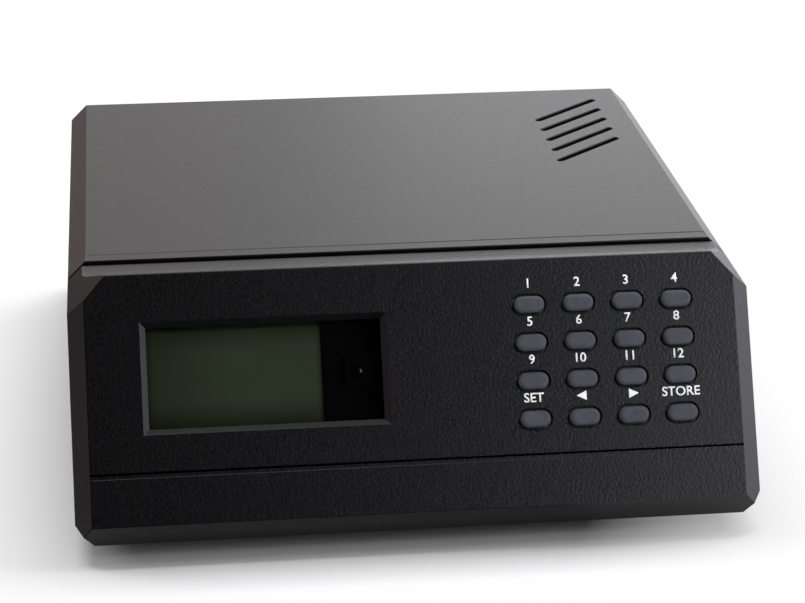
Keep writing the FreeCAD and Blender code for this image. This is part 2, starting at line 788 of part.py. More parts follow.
def build_display():
    face_slab("display_window", WINDOW_X, "window_drop", "wall", "window_width + lens_overlap * 2",
              "window_height + lens_overlap * 2", "lens_thickness")
    frame = face_body("lcd_frame")
    ring = new_sketch(frame, "XY", z="-(%s) + frame_lip" % GLASS_FRONT)
    rectangle(ring, "glass_width + frame_wall * 2", "glass_height + frame_wall * 2", GLASS_X, "-window_drop")
    pad(frame, ring, "%s - %s + frame_lip" % (DISPLAY_BACK, GLASS_FRONT), flip=True)
    inner = new_sketch(frame, "XY", z="-(%s)" % GLASS_FRONT)
    rectangle(inner, "glass_width + fit", "glass_height + fit", GLASS_X, "-window_drop")
    pocket(frame, inner, "%s - %s" % (DISPLAY_BACK, GLASS_FRONT))
    sight = new_sketch(frame, "XY", z="-(%s)" % GLASS_FRONT)
    rectangle(sight, "glass_width - frame_border * 2", "glass_height - frame_border * 2", GLASS_X, "-window_drop")
    pocket(frame, sight, "frame_lip * 4", both=True)
    face_slab("lcd_glass", GLASS_X, "window_drop", GLASS_FRONT, "glass_width", "glass_height", "glass_thickness")
    face_slab("lcd_backlight", GLASS_X, "window_drop", "%s + glass_thickness" % GLASS_FRONT,
              "glass_width", "glass_height", "backlight_thickness")
    face_slab("display_board", BOARD_X, "window_drop", DISPLAY_BACK,
              "display_board_width", "display_board_height", "board_thickness", display_posts())
    receiver = face_slab("ir_receiver", RECEIVER_X, "window_drop", "%s - receiver_depth" % DISPLAY_BACK,
                         "receiver_width", "receiver_height", "receiver_depth")
    eye = new_sketch(receiver, "XY", z="-(%s) + receiver_depth / 2" % DISPLAY_BACK)
    circle(eye, "receiver_eye", RECEIVER_X, "-window_drop")
    pad(receiver, eye, "receiver_depth / 2 + receiver_eye")
    dress(receiver, "Fillet", "receiver_eye * 0.9", lambda p, box: near(p.z, box.ZMax))


# ---------------------------------------------------------------- keys
KEY_NAMES = ["key_%d" % n for n in range(1, 13)] + ["key_set", "key_left", "key_right", "key_store"]


def build_keys():
    for n, label in enumerate(KEY_NAMES):
        line, column = divmod(n, COLUMNS)
        place_x = "%s + key_pitch_x * %d" % (FIRST_KEY_X, column)
        body = face_body(label, place_x, "key_drop + key_pitch_y * %d" % line)
        flange = new_sketch(body, "XY", z="-wall - key_play")
        stadium(flange, "key_length + key_flange * 2", "key_height + key_flange * 2")
        pad(body, flange, "key_flange_thickness", flip=True)
        cap = new_sketch(body, "XY", z="-wall - key_play - key_flange_thickness / 2")
        stadium(cap, "key_length", "key_height")
        pad(body, cap, "wall + key_play + key_flange_thickness / 2 + key_proud")
        dress(body, "Fillet", "key_round", lambda p, box: near(p.z, box.ZMax))


def build_keypad():
    """Rubber mat with a dome behind each key, and the board that it lies on."""
    mat = face_slab("keypad_mat", KEYS_X, KEYS_DROP, "%s + dome_height" % KEY_BACK,
                    "%s + mat_margin * 2" % KEYS_WIDE, "%s + mat_margin * 2" % KEYS_HIGH, "mat_thickness")
    dome_root = "-(%s) - dome_height - mat_thickness / 2" % KEY_BACK
    dome = new_sketch(mat, "XY", x=FIRST_KEY_X, y="-key_drop", z=dome_root)
    circle(dome, "dome_radius")
    bump = pad(mat, dome, "dome_height + mat_thickness / 2")
    grid = mat.newObject("PartDesign::LinearPattern", "Domes")
    grid.Originals = [bump]
    grid.Direction = (dome, ["H_Axis"])
    grid.Direction2 = (dome, ["V_Axis"])
    grid.Reversed2 = True
    grid.Occurrences = COLUMNS
    grid.Occurrences2 = ROWS
    bind(grid, Length="key_pitch_x * %d" % (COLUMNS - 1), Length2="key_pitch_y * %d" % (ROWS - 1))
    mat.Tip = grid
    face_slab("key_board", KEYS_X, KEYS_DROP, MAT_BACK, KEY_BOARD_WIDTH, KEY_BOARD_HEIGHT, "board_thickness",
              key_posts())


# ---------------------------------------------------------------- rear panel, terminals and cord gland
PANEL_BACK = "(cover_length - panel_recess)"
TERMINAL_WIDTH = "(terminal_pitch * terminal_count + terminal_rib)"


def build_rear_panel():
    body = new_body("rear_panel")
    plate = new_sketch(body, "XZ", z="-%s" % PANEL_BACK)
    polygon(plate, full_ring("wall + fit"))
    circle(plate, "gland_body + clip_play", GLAND_X, "gland_z")
    rectangle(plate, "panel_slot_width", "panel_slot_height", TERMINAL_X, "terminal_z")
    for side in "-+":
        circle(plate, "screw_radius + screw_play", ear_place(side), "terminal_z")
    pad(body, plate, "panel_thickness")


def ear_place(side):
    return "%s %s (%s / 2 + ear_length / 2)" % (TERMINAL_X, side, TERMINAL_WIDTH)


def build_terminal_block():
    """Barrier strip: a base with mounting ears, ribs between the terminals, plates and screws."""
    start = "-%s" % PANEL_BACK
    body = new_body("terminal_block")
    ears = new_sketch(body, "XZ", z=start)
    rectangle(ears, "%s + ear_length * 2" % TERMINAL_WIDTH, "terminal_height * 0.6", TERMINAL_X, "terminal_z")
    for side in "-+":
        circle(ears, "screw_radius + screw_play", ear_place(side), "terminal_z")
    pad(body, ears, "ear_thickness", flip=True)
    base = new_sketch(body, "XZ", z=start)
    rectangle(base, TERMINAL_WIDTH, "terminal_height", TERMINAL_X, "terminal_z")
    pad(body, base, "terminal_base", flip=True)
    first_rib = "%s - terminal_pitch * terminal_count / 2" % TERMINAL_X
    rib = new_sketch(body, "XZ", z=start)
    rectangle(rib, "terminal_rib", "terminal_height", first_rib, "terminal_z")
    wall = pad(body, rib, "terminal_depth", flip=True)
    repeat(body, wall, "X", "terminal_pitch", "terminal_count + 1")
    first = "%s - terminal_pitch * (terminal_count - 1) / 2" % TERMINAL_X
    hole = new_sketch(body, "XZ", z="%s - terminal_base" % start)
    circle(hole, "terminal_screw_radius + screw_play", first, "terminal_z")
    bore = pocket(body, hole, "terminal_base - terminal_floor", flip=True)
    repeat(body, bore, "X", "terminal_pitch", "terminal_count")
    plates = new_body("terminal_plates")
    plate = new_sketch(plates, "XZ", z="%s - terminal_base" % start)
    rectangle(plate, "terminal_pitch - terminal_rib - fit * 2", "terminal_height - fit * 4", first, "terminal_z")
    circle(plate, "terminal_screw_radius + screw_play", first, "terminal_z")
    repeat(plates, pad(plates, plate, "terminal_plate", flip=True), "X", "terminal_pitch", "terminal_count")
    screws = new_body("terminal_screws")
    seat = "%s - terminal_base - terminal_plate" % start
    shank = new_sketch(screws, "XZ", z=seat)
    circle(shank, "terminal_screw_radius", first, "terminal_z")
    head = new_sketch(screws, "XZ", z=seat)
    circle(head, "terminal_head_radius", first, "terminal_z")
    repeat(screws, pad(screws, head, "terminal_head_height", flip=True), "X", "terminal_pitch", "terminal_count")
    grip = pad(screws, shank, "terminal_base + terminal_plate - terminal_floor - screw_runout / 2")
    repeat(screws, grip, "X", "terminal_pitch", "terminal_count")


def build_cord_gland():
    body = new_body("cord_gland")
    back = "-%s" % PANEL_BACK
    stages = [("gland_flange", back, "gland_flange_thickness", True),
              ("gland_body", back, "panel_thickness + gland_flange_thickness", False),
              ("gland_body * 0.85", back, "gland_flange_thickness + gland_tail", True)]
    for radius, level, length, rearward in stages:
        ring = new_sketch(body, "XZ", z=level)
        circle(ring, radius, GLAND_X, "gland_z")
        pad(body, ring, length, flip=rearward)
    lock = new_sketch(body, "XZ", z="%s + panel_thickness" % back)
    circle(lock, "gland_body * 1.12", GLAND_X, "gland_z")
    pad(body, lock, "gland_flange_thickness")
    bore = new_sketch(body, "XZ", z=back)
    circle(bore, "gland_bore", GLAND_X, "gland_z")
    pocket(body, bore, "gland_tail * 5", both=True)


# ---------------------------------------------------------------- feet and screws
def build_rubber_feet():
    body = new_body("rubber_feet")
    pads = new_sketch(body, "XY", z="foot_height")
    pins = new_sketch(body, "XY", z="foot_height")
    for x, y in foot_places():
        circle(pads, "foot_radius", x, y)
        circle(pins, "foot_pin_radius", x, y)
    pad(body, pads, "foot_height", flip=True)
    dress(body, "Chamfer", "foot_taper", lambda p, box: near(p.z, box.ZMin))
    pad(body, pins, "wall")


def screw_group(body, points, seat, length, head_radius, head_height, radius, down=True):
    """Screws along the body's Z: heads stand on the seat and the shanks run away from them."""
    for size, reach, away in ((head_radius, head_height, not down), (radius, length, down)):
        sketch = new_sketch(body, "XY", z=seat)
        for x, y in points:
            circle(sketch, size, x, y)
        pad(body, sketch, reach, flip=away)


def build_screws():
    case_points = [(side + POST_X, y) for side in SIDES for y in POST_YS]
    screw_group(new_body("case_screws"), case_points, "split_height - case_screw_grip", "case_screw_length",
                "case_screw_head", "case_screw_head_height", "case_screw_radius", down=False)
    small = ("screw_length", "screw_head_radius", "screw_head_height", "screw_radius")
    screw_group(new_body("board_screws"), board_corners(), BOARD_TOP, *small)
    strap_seat = "%s + boss_height + strap_wall" % FLOOR
    screw_group(new_body("strap_screws"), strap_feet(), strap_seat, "strap_screw_length", *small[1:])
    for label, points, back in (("display_screws", display_posts(), DISPLAY_BACK),
                                ("key_board_screws", key_posts(), MAT_BACK)):
        places = [(x, "-(%s)" % drop) for x, drop in points]
        seat = "-(%s) - board_thickness" % back
        screw_group(face_body(label), places, seat, "face_screw_length", *small[1:], down=False)
    panel = new_body("terminal_mount_screws")
    for radius, length, rearward in (("screw_head_radius", "screw_head_height", True),
                                     ("screw_radius", "ear_thickness + panel_thickness + screw_tip", False)):
        ring = new_sketch(panel, "XZ", z="-%s - ear_thickness" % PANEL_BACK)
        for side in "-+":
            circle(ring, radius, ear_place(side), "terminal_z")
        pad(panel, ring, length, flip=rearward)


# ---------------------------------------------------------------- transformer and motor capacitor
CORE_LOW = "(%s + core_lift)" % FLOOR
MOTOR_Z = "(%s + motor_lift + motor_radius)" % FLOOR
STRAP_LOW = "(%s + boss_height)" % FLOOR


def build_transformer():
    """Laminated core with two windows, the winding round its middle leg, and the strap that holds it down."""
    core = new_body("transformer_core", x=CORE_X)
    lamination = new_sketch(core, "XZ", z="-core_y")
    middle = "%s + core_height / 2" % CORE_LOW
    rectangle(lamination, "core_width", "core_height", "0", middle)
    gap = "((core_width - core_leg * 4) / 2)"
    for side in "-+":
        rectangle(lamination, gap, "core_height - core_leg * 2", "0 %s (core_leg + %s / 2)" % (side, gap), middle)
    pad(core, lamination, "core_stack", both=True)
    winding = new_body("transformer_winding", x=CORE_X)
    turns = new_sketch(winding, "XY", z="%s + core_leg + coil_play" % CORE_LOW)
    rectangle(turns, "core_leg * 2 + %s * 2 - coil_play * 2" % gap, "core_stack + coil_bulge * 2", "0", "core_y")
    rectangle(turns, "core_leg * 2 + coil_play * 2", "core_stack + coil_play * 2", "0", "core_y")
    pad(winding, turns, "core_height - core_leg * 2 - coil_play * 2")
    dress(winding, "Fillet", "coil_bulge / 3", lambda p, box: is_corner(p, box))
    strap = new_body("transformer_strap", x=CORE_X)
    band = new_sketch(strap, "XZ", z="-core_y")
    side_in = "(core_width / 2 + coil_play)"
    side_out = "(%s + strap_wall)" % side_in
    toe = "(%s + strap_foot)" % side_out
    roof = "(%s + core_height + coil_play)" % CORE_LOW
    right = [(side_in, STRAP_LOW), (toe, STRAP_LOW), (toe, "%s + strap_wall" % STRAP_LOW),
             (side_out, "%s + strap_wall" % STRAP_LOW), (side_out, "%s + strap_wall" % roof)]
    polygon(band, right + mirrored(right) + [("-" + side_in, roof), (side_in, roof)])
    pad(strap, band, "strap_width", both=True)
    strap_holes(strap, [("%s (%s + strap_foot / 2)" % (side, side_out), "core_y") for side in SIDES])


def strap_holes(body, points):
    holes = new_sketch(body, "XY", z=STRAP_LOW)
    for x, y in points:
        circle(holes, "screw_radius + screw_play", x, y)
    pocket(body, holes, "strap_wall * 3", both=True)


def is_corner(point, box):
    """True on the upright outer corners of a block."""
    return near(abs(point.x), box.XMax) and (near(point.y, box.YMin) or near(point.y, box.YMax))


def build_motor_capacitor():
    can = new_body("motor_capacitor", x=MOTOR_X)
    disc = new_sketch(can, "YZ")
    circle(disc, "motor_radius", "motor_y", MOTOR_Z)
    pad(can, disc, "motor_length", both=True)
    dress(can, "Fillet", "motor_radius / 10", lambda p, box: near(abs(p.x), box.XMax))
    strap = new_body("capacitor_strap", x=MOTOR_X)
    inner = "(motor_radius + clip_play)"
    outer = "(%s + strap_wall)" % inner
    ring = new_sketch(strap, "YZ")
    circle(ring, outer, "motor_y", MOTOR_Z)
    circle(ring, inner, "motor_y", MOTOR_Z)
    pad(strap, ring, "strap_width", both=True)
    below = new_sketch(strap, "YZ")
    rectangle(below, "%s * 3" % outer, outer + " * 2", "motor_y", "%s - %s" % (MOTOR_Z, outer))
    pocket(strap, below, "strap_width * 2", both=True)
    legs = new_sketch(strap, "YZ")
    for side in "-+":
        near_side, far_side, toe = ("motor_y %s %s" % (side, reach)
                                    for reach in (inner, outer, "(%s + strap_foot)" % outer))
        polygon(legs, [(near_side, STRAP_LOW), (toe, STRAP_LOW), (toe, "%s + strap_wall" % STRAP_LOW),
                       (far_side, "%s + strap_wall" % STRAP_LOW), (far_side, MOTOR_Z), (near_side, MOTOR_Z)])
    pad(strap, legs, "strap_width", both=True)
    strap_holes(strap, [("0", "motor_y %s (%s + strap_foot / 2)" % (side, outer)) for side in "-+"])


# ---------------------------------------------------------------- main board and what it carries
def board_x(share):
    """A place across the main board, as a share of its half width."""
    return "(%s + main_width / 2 * %s)" % (MAIN_X, share)


def board_y(share):
    return "(main_y + main_length / 2 * %s)" % share


def build_main_board():
    body = new_body("main_board")
    outline = new_sketch(body, "XY", z="%s + standoff_height" % FLOOR)
    rectangle(outline, "main_width", "main_length", MAIN_X, "main_y")
    for x, y in board_corners():
        circle(outline, "screw_radius + screw_play", x, y)
    pad(body, outline, "board_thickness")


def on_board(label, width, length, height, x, y, rise="0"):
    return slab(label, width, length, height, x, y, "%s + %s" % (BOARD_TOP, rise))


def build_board_parts():
    relays = new_body("relays")
    box = new_sketch(relays, "XY", z=BOARD_TOP)
    rectangle(box, "relay_length", "relay_width", board_x(-0.68), board_y(-0.5))
    repeat(relays, pad(relays, box, "relay_height"), "Y", "relay_pitch", "relay_count")
    cans = new_body("filter_capacitors")
    disc = new_sketch(cans, "XY", z=BOARD_TOP)
    circle(disc, "filter_radius", board_x(-0.35), board_y(0.55))
    repeat(cans, pad(cans, disc, "filter_height"), "X", "filter_pitch", "2")
    dress(cans, "Fillet", "filter_radius / 8", lambda p, box: near(p.z, box.ZMax))
    chip_x, chip_y = board_x(0.3), board_y(-0.45)
    on_board("chip_socket", "chip_length", "chip_width", "socket_height", chip_x, chip_y)
    chip = on_board("control_chip", "chip_length - fit", "chip_width", "chip_height", chip_x, chip_y,
                    "socket_height")
    notch = new_sketch(chip, "XY", z="%s + socket_height + chip_height" % BOARD_TOP)
    circle(notch, "chip_width / 8", "%s - chip_length / 2" % chip_x, chip_y)
    pocket(chip, notch, "chip_height / 3")
    crystal = on_board("crystal", "crystal_length", "crystal_width", "crystal_height", board_x(0.2),
                       board_y(-0.15))
    dress(crystal, "Fillet", "crystal_width * 0.45", lambda p, box: near(p.z, (box.ZMin + box.ZMax) / 2))
    round_part = new_body("bridge_rectifier")
    disc = new_sketch(round_part, "XY", z=BOARD_TOP)
    circle(disc, "rectifier_radius", board_x(-0.35), board_y(0.2))
    pad(round_part, disc, "rectifier_height")
    # finned heat sink with the regulator against its back
    sink = new_body("heat_sink")
    root = new_sketch(sink, "XY", z=BOARD_TOP)
    sink_x, sink_y = board_x(0.68), board_y(0.45)
    rectangle(root, "sink_width", "sink_back", sink_x, "%s + sink_back / 2" % sink_y)
    pad(sink, root, "sink_height")
    fin = new_sketch(sink, "XY", z=BOARD_TOP)
    rectangle(fin, "sink_fin", "sink_depth - sink_back / 2",
              "%s - sink_width / 2 + sink_fin / 2" % sink_x, "%s + (sink_depth + sink_back / 2) / 2" % sink_y)
    repeat(sink, pad(sink, fin, "sink_height"), "X", "(sink_width - sink_fin) / (sink_fins - 1)", "sink_fins")
    on_board("voltage_regulator", "regulator_width", "regulator_thickness", "regulator_height", sink_x,
             "%s - regulator_thickness / 2" % sink_y, "regulator_lift")
    # fuse in its two clips
    clips = new_body("fuse_clips")
    fuse_z = "(%s + clip_wall + fuse_radius + clip_play)" % BOARD_TOP
    clip = new_sketch(clips, "XZ", z="-(%s - fuse_length / 2 + clip_length / 2)" % board_y(0))
    clip_half = "(fuse_radius + clip_play + clip_wall)"
    x = board_x(0.85)
    inner = "(fuse_radius + clip_play)"
    polygon(clip, [("%s - %s" % (x, clip_half), BOARD_TOP), ("%s + %s" % (x, clip_half), BOARD_TOP),
                   ("%s + %s" % (x, clip_half), fuse_z), ("%s + %s" % (x, inner), fuse_z),
                   ("%s + %s" % (x, inner), "%s + clip_wall" % BOARD_TOP),
                   ("%s - %s" % (x, inner), "%s + clip_wall" % BOARD_TOP),
                   ("%s - %s" % (x, inner), fuse_z), ("%s - %s" % (x, clip_half), fuse_z)])
    repeat(clips, pad(clips, clip, "clip_length", both=True), "Y", "fuse_length - clip_length", "2")
    fuse = new_body("fuse")
    glass = new_sketch(fuse, "XZ", z="-%s" % board_y(0))
    circle(glass, "fuse_radius * 0.9", x, fuse_z)
    pad(fuse, glass, "fuse_length", both=True)
    for side in "-+":
        cap = new_sketch(fuse, "XZ", z="-(%s %s (fuse_length - clip_length) / 2)" % (board_y(0), side))
        circle(cap, "fuse_radius", x, fuse_z)
        pad(fuse, cap, "clip_length", both=True)
    # pin headers along the front and back edges of the board
    plugs = new_body("board_plugs")
    plug = new_sketch(plugs, "XY", z=BOARD_TOP)
    for place_x, place_y in ((-0.1, -0.85), (0.4, -0.85), (0.1, 0.88), (0.5, 0.88)):
        rectangle(plug, "plug_length", "plug_width", board_x(place_x), board_y(place_y))
    pad(plugs, plug, "plug_height")


# ---------------------------------------------------------------- build, check and write
def build_all():
    build_top_cover()
    build_bottom_case()
    build_front_bezel()
    build_display()
    build_keys()
    build_keypad()
    build_rear_panel()
    build_terminal_block()
    build_cord_gland()
    build_rubber_feet()
    build_screws()
    build_transformer()
    build_motor_capacitor()
    build_main_board()
    build_board_parts()
    doc.recompute()


def faults():
    """Names of objects that failed and of sub-parts without a sound shape."""
    found = [item.Name for item in doc.Objects if {"Invalid", "Error"} & set(item.State)]
    for body in finished:
        shape = body.Shape
        if shape.isNull() or not shape.isValid() or not shape.Solids:
            found.append(body.Label)
    return found


def write_parts():
    os.makedirs("parts", exist_ok=True)
    for body in finished:
        body.Shape.exportStep("parts/%s.step" % body.Label)


build_all()
broken = faults()
if broken:
    raise RuntimeError("not sound: " + ", ".join(broken))
write_parts()
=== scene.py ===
"""Finishes and fittings of a desktop antenna rotator controller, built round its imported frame."""
import math

import bmesh
import bpy
from bpy.props import FloatProperty, FloatVectorProperty, PointerProperty
from bpy.types import Operator, Panel, PropertyGroup
from mathutils import Matrix, Vector


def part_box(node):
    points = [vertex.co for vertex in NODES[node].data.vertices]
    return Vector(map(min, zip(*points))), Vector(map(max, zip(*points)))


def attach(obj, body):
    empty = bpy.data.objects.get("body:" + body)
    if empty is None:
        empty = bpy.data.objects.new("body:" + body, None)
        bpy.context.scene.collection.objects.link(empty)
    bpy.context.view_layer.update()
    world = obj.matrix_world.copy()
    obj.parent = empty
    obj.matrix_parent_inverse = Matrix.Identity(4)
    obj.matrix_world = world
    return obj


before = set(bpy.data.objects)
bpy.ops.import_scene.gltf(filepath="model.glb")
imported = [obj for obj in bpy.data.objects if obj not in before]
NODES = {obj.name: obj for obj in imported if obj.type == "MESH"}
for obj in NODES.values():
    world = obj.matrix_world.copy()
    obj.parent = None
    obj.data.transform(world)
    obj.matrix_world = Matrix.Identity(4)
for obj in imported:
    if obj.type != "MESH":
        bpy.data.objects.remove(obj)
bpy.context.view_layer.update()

bl_info = {
    "name": "Rotator Controller Finishes",
    "version": (1, 0, 0),
    "blender": (4, 5, 0),
    "location": "View3D > Sidebar > Rotator",
    "description": "Finishes, legends and fittings of an antenna rotator controller, and its stage",
    "category": "Object",
}

MM = 0.001
WELD = 0.001 * MM   # points nearer than this are one point
SLACK = 0.02 * MM   # points nearer than this lie on one level
KEYS = ["key_%d" % number for number in range(1, 13)] + ["key_set", "key_left", "key_right", "key_store"]


# ---------------------------------------------------------------- the sloping face
LEAN = math.radians(28.4)
FACE_RIGHT = Vector((1, 0, 0))
FACE_UP = Vector((0, math.sin(LEAN), math.cos(LEAN)))
FACE_OUT = Vector((0, -math.cos(LEAN), math.sin(LEAN)))


def reach(node, axis):
    """The lowest and the highest place of a node's vertices along an axis."""
    places = [vertex.co.dot(axis) for vertex in NODES[node].data.vertices]
    return min(places), max(places)


def middle_of(node):
    """The middle of a node's box."""
    low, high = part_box(node)
    return (low + high) / 2


FACE_LEVEL = reach("front_bezel", FACE_OUT)[1]


def face_matrix(point, proud=0.0):
    """A frame on the face below or above a point: X right, Y up the slope, Z out."""
    foot = point + FACE_OUT * (FACE_LEVEL + proud - point.dot(FACE_OUT))
    turn = Matrix((FACE_RIGHT, FACE_UP, FACE_OUT)).transposed().to_4x4()
    return Matrix.Translation(foot) @ turn


# ---------------------------------------------------------------- settings
def colour_setting(name, description, default):
    """A colour that a user may change."""
    return FloatVectorProperty(
        name=name, description=description, default=default, subtype="COLOR", size=3, min=0, max=1)


def length_setting(name, description, default):
    """A small length that a user may change."""
    return FloatProperty(
        name=name, description=description, default=default, min=0, subtype="DISTANCE", unit="LENGTH",
        precision=6)


def power_setting(name, description, default):
    """The power of a lamp, in watts."""
    return FloatProperty(name=name, description=description, default=default, min=0, unit="POWER")


class FinishSettings(PropertyGroup):
    """Colours and surface sizes that a user would change."""
    case_colour: colour_setting("Case", "Colour of the moulded case", (0.0012, 0.0011, 0.0014))
    case_roughness: FloatProperty(
        name="Case Roughness", description="Roughness of the moulded case", default=0.34, min=0, max=1,
        subtype="FACTOR")
    grain_size: length_setting("Grain Size", "Size of the spark-eroded grain", 0.36 * MM)
    front_grain: length_setting(
        "Front Grain", "Grain of the front moulding, coarser than the case's", 0.7 * MM)
    key_colour: colour_setting("Keys", "Colour of the rubber keys", (0.046, 0.052, 0.062))
    print_colour: colour_setting("Print", "Colour of the printed legends", (0.90, 0.91, 0.92))
    display_colour: colour_setting(
        "Display", "Colour of the unlit liquid-crystal display", (0.122, 0.166, 0.094))
    board_colour: colour_setting(
        "Boards", "Colour of the circuit boards' solder mask", (0.03, 0.17, 0.07))


class LegendSettings(PropertyGroup):
    """Sizes of the printed legends."""
    letter_height: length_setting("Letter Height", "Height of the printed figures", 2.8 * MM)
    arrow_length: length_setting("Arrow Length", "Length of the printed triangles", 2.9 * MM)
    lift: length_setting("Row Offset", "From the middle of a key up to its legend's middle", 6.75 * MM)
    film: length_setting("Film", "Thickness of the printed film", 0.02 * MM)


class StageSettings(PropertyGroup):
    """Camera and light."""
    lens: FloatProperty(
        name="Lens", description="Focal length on a 36 mm wide sensor", default=106.88, unit="CAMERA")
    ambient: FloatProperty(
        name="Ambient", description="Even light from all round", default=0.31, min=0)
    key_power: power_setting("Key Light", "Power of the wide softbox high up behind", 47.0)
    right_power: power_setting("Right Light", "Power of the softbox on the right", 6.0)
    fill_power: power_setting("Fill Light", "Power of the front light, which spares the floor", 19.5)
    gloss_power: power_setting("Gloss Lights", "Power of the low softboxes that gloss picks up", 7.0)


# ---------------------------------------------------------------- shader node helpers
def link(tree, source, target):
    """Link an output to an input."""
    tree.links.new(source, target)


def feed(tree, socket, value):
    """Link an input to another node's output, or set its plain number, vector or colour."""
    if isinstance(value, bpy.types.NodeSocket):
        link(tree, value, socket)
    else:
        socket.default_value = value


def add_node(tree, kind, **values):
    """A shader node with its properties and input defaults set by name."""
    node = tree.nodes.new(kind)
    for name, value in values.items():
        if hasattr(node, name):
            setattr(node, name, value)
        else:
            node.inputs[name.replace("_", " ")].default_value = value
    return node


def object_place(tree):
    """The shaded point in the object's own space."""
    return tree.nodes.new("ShaderNodeTexCoord").outputs["Object"]


def maths(tree, operation, *values):
    """A Math node. The values are sockets or plain numbers."""
    node = add_node(tree, "ShaderNodeMath", operation=operation)
    for socket, value in zip(node.inputs, values):
        feed(tree, socket, value)
    return node.outputs["Value"]


def vector_maths(tree, operation, *values):
    """A Vector Math node. The values are sockets or plain vectors."""
    node = add_node(tree, "ShaderNodeVectorMath", operation=operation)
    for socket, value in zip(node.inputs, values):
        feed(tree, socket, value)
    return node.outputs["Value" if operation in ("DOT_PRODUCT", "LENGTH") else "Vector"]


def blend(tree, factor, first, second):
    """A colour between two, by a mask. The colours are sockets or plain ones."""
    node = add_node(tree, "ShaderNodeMix", data_type="RGBA")
    feed(tree, node.inputs["Factor"], factor)
    for label, colour in (("A", first), ("B", second)):
        feed(tree, node.inputs[label], (*colour, 1) if isinstance(colour, tuple) else colour)
    return node.outputs["Result"]


def along(tree, where, axis):
    """How far a position lies along an axis."""
    return vector_maths(tree, "DOT_PRODUCT", where, axis)


def near(tree, value, target, margin):
    """1 where a value lies nearer to the target than the margin, and 0 elsewhere."""
    away = maths(tree, "ABSOLUTE", maths(tree, "SUBTRACT", value, target))
    return maths(tree, "LESS_THAN", away, margin)


def spread(tree, value, low, high, to_low=0.0, to_high=1.0):
    """A value mapped from one range to another, and held inside it."""
    node = tree.nodes.new("ShaderNodeMapRange")
    link(tree, value, node.inputs["Value"])
    limits = (("From Min", low), ("From Max", high), ("To Min", to_low), ("To Max", to_high))
    for name, number in limits:
        node.inputs[name].default_value = number
    return node.outputs["Result"]


def scaled(colour, factor):
    """A colour made darker or lighter."""
    return tuple(min(1.0, channel * factor) for channel in colour)


def new_group(name, inputs, outputs):
    """An empty node group. inputs are (name, default) and may be vectors; outputs are names of values."""
    group = bpy.data.node_groups.new(name, "ShaderNodeTree")
    for label, default in inputs:
        kind = "NodeSocketVector" if isinstance(default, tuple) else "NodeSocketFloat"
        socket = group.interface.new_socket(name=label, in_out="INPUT", socket_type=kind)
        socket.default_value = default
    for label in outputs:
        group.interface.new_socket(name=label, in_out="OUTPUT", socket_type="NodeSocketFloat")
    return group, group.nodes.new("NodeGroupInput"), group.nodes.new("NodeGroupOutput")


def grain_group():
    """Spark-eroded mould grain: a height, a slow mottle and fine specks, all in object space."""
    group, given, made = new_group(
        "Mould Grain", [("Grain", 0.4 * MM), ("Mottle", 6 * MM)], ["Height", "Mottle", "Speck"])
    where = object_place(group)
    fine = maths(group, "DIVIDE", 1.0, given.outputs["Grain"])
    broad = maths(group, "DIVIDE", 1.0, given.outputs["Mottle"])
    coarse = add_node(group, "ShaderNodeTexNoise", Detail=2.0, Roughness=0.6)
    pits = add_node(group, "ShaderNodeTexVoronoi", feature="SMOOTH_F1")
    slow = add_node(group, "ShaderNodeTexNoise", Detail=4.0, Roughness=0.55)
    speck = add_node(group, "ShaderNodeTexNoise", Detail=1.0)
    for node, scale in ((coarse, fine), (pits, fine), (slow, broad), (speck, fine)):
        link(group, where, node.inputs["Vector"])
        link(group, scale, node.inputs["Scale"])
    pitting = maths(group, "MULTIPLY", pits.outputs["Distance"], 0.7)
    link(group, maths(group, "ADD", coarse.outputs["Fac"], pitting), made.inputs["Height"])
    link(group, slow.outputs["Fac"], made.inputs["Mottle"])
    link(group, speck.outputs["Fac"], made.inputs["Speck"])
    return group


def edge_group():
    """Mask of the edges, where handling polishes a surface and where a painted highlight lightens rims,
    broken up by noise.
    """
    group, given, made = new_group("Edge Polish", [("Radius", 0.5 * MM), ("Patch", 9 * MM)], ["Edge"])
    rounded = add_node(group, "ShaderNodeBevel", samples=4)
    link(group, given.outputs["Radius"], rounded.inputs["Radius"])
    flat = group.nodes.new("ShaderNodeNewGeometry")
    turn = vector_maths(group, "DOT_PRODUCT", rounded.outputs["Normal"], flat.outputs["Normal"])
    bend = spread(group, turn, 0.999, 0.90)
    patches = add_node(group, "ShaderNodeTexNoise", Detail=3.0)
    link(group, object_place(group), patches.inputs["Vector"])
    link(group, maths(group, "DIVIDE", 1.0, given.outputs["Patch"]), patches.inputs["Scale"])
    broken = spread(group, patches.outputs["Fac"], 0.35, 0.65, 0.45, 1.0)
    link(group, maths(group, "MULTIPLY", bend, broken), made.inputs["Edge"])
    return group


def brushed_group():
    """Fine marks and broad stains of worked metal; Brush stretches them along an axis."""
    group, given, made = new_group("Brushed Marks", [("Brush", (1.0, 1.0, 1.0))], ["Marks", "Stain"])
    mapping = group.nodes.new("ShaderNodeMapping")
    link(group, given.outputs["Brush"], mapping.inputs["Scale"])
    link(group, object_place(group), mapping.inputs["Vector"])
    for label, scale in (("Marks", 1500.0), ("Stain", 160.0)):
        noise = add_node(group, "ShaderNodeTexNoise", Scale=scale, Detail=3.0)
        link(group, mapping.outputs["Vector"], noise.inputs["Vector"])
        link(group, noise.outputs["Fac"], made.inputs[label])
    return group


def haze_group():
    """Cloudy haze of clear plastic and glass."""
    group, given, made = new_group("Haze", [("Scale", 400.0)], ["Haze"])
    noise = add_node(group, "ShaderNodeTexNoise", Detail=2.0)
    link(group, object_place(group), noise.inputs["Vector"])
    link(group, given.outputs["Scale"], noise.inputs["Scale"])
    link(group, noise.outputs["Fac"], made.inputs["Haze"])
    return group


GROUPS = {}


def shared_group(maker):
    """A node group, built the first time it is asked for."""
    if maker not in GROUPS:
        GROUPS[maker] = maker()
    return GROUPS[maker]


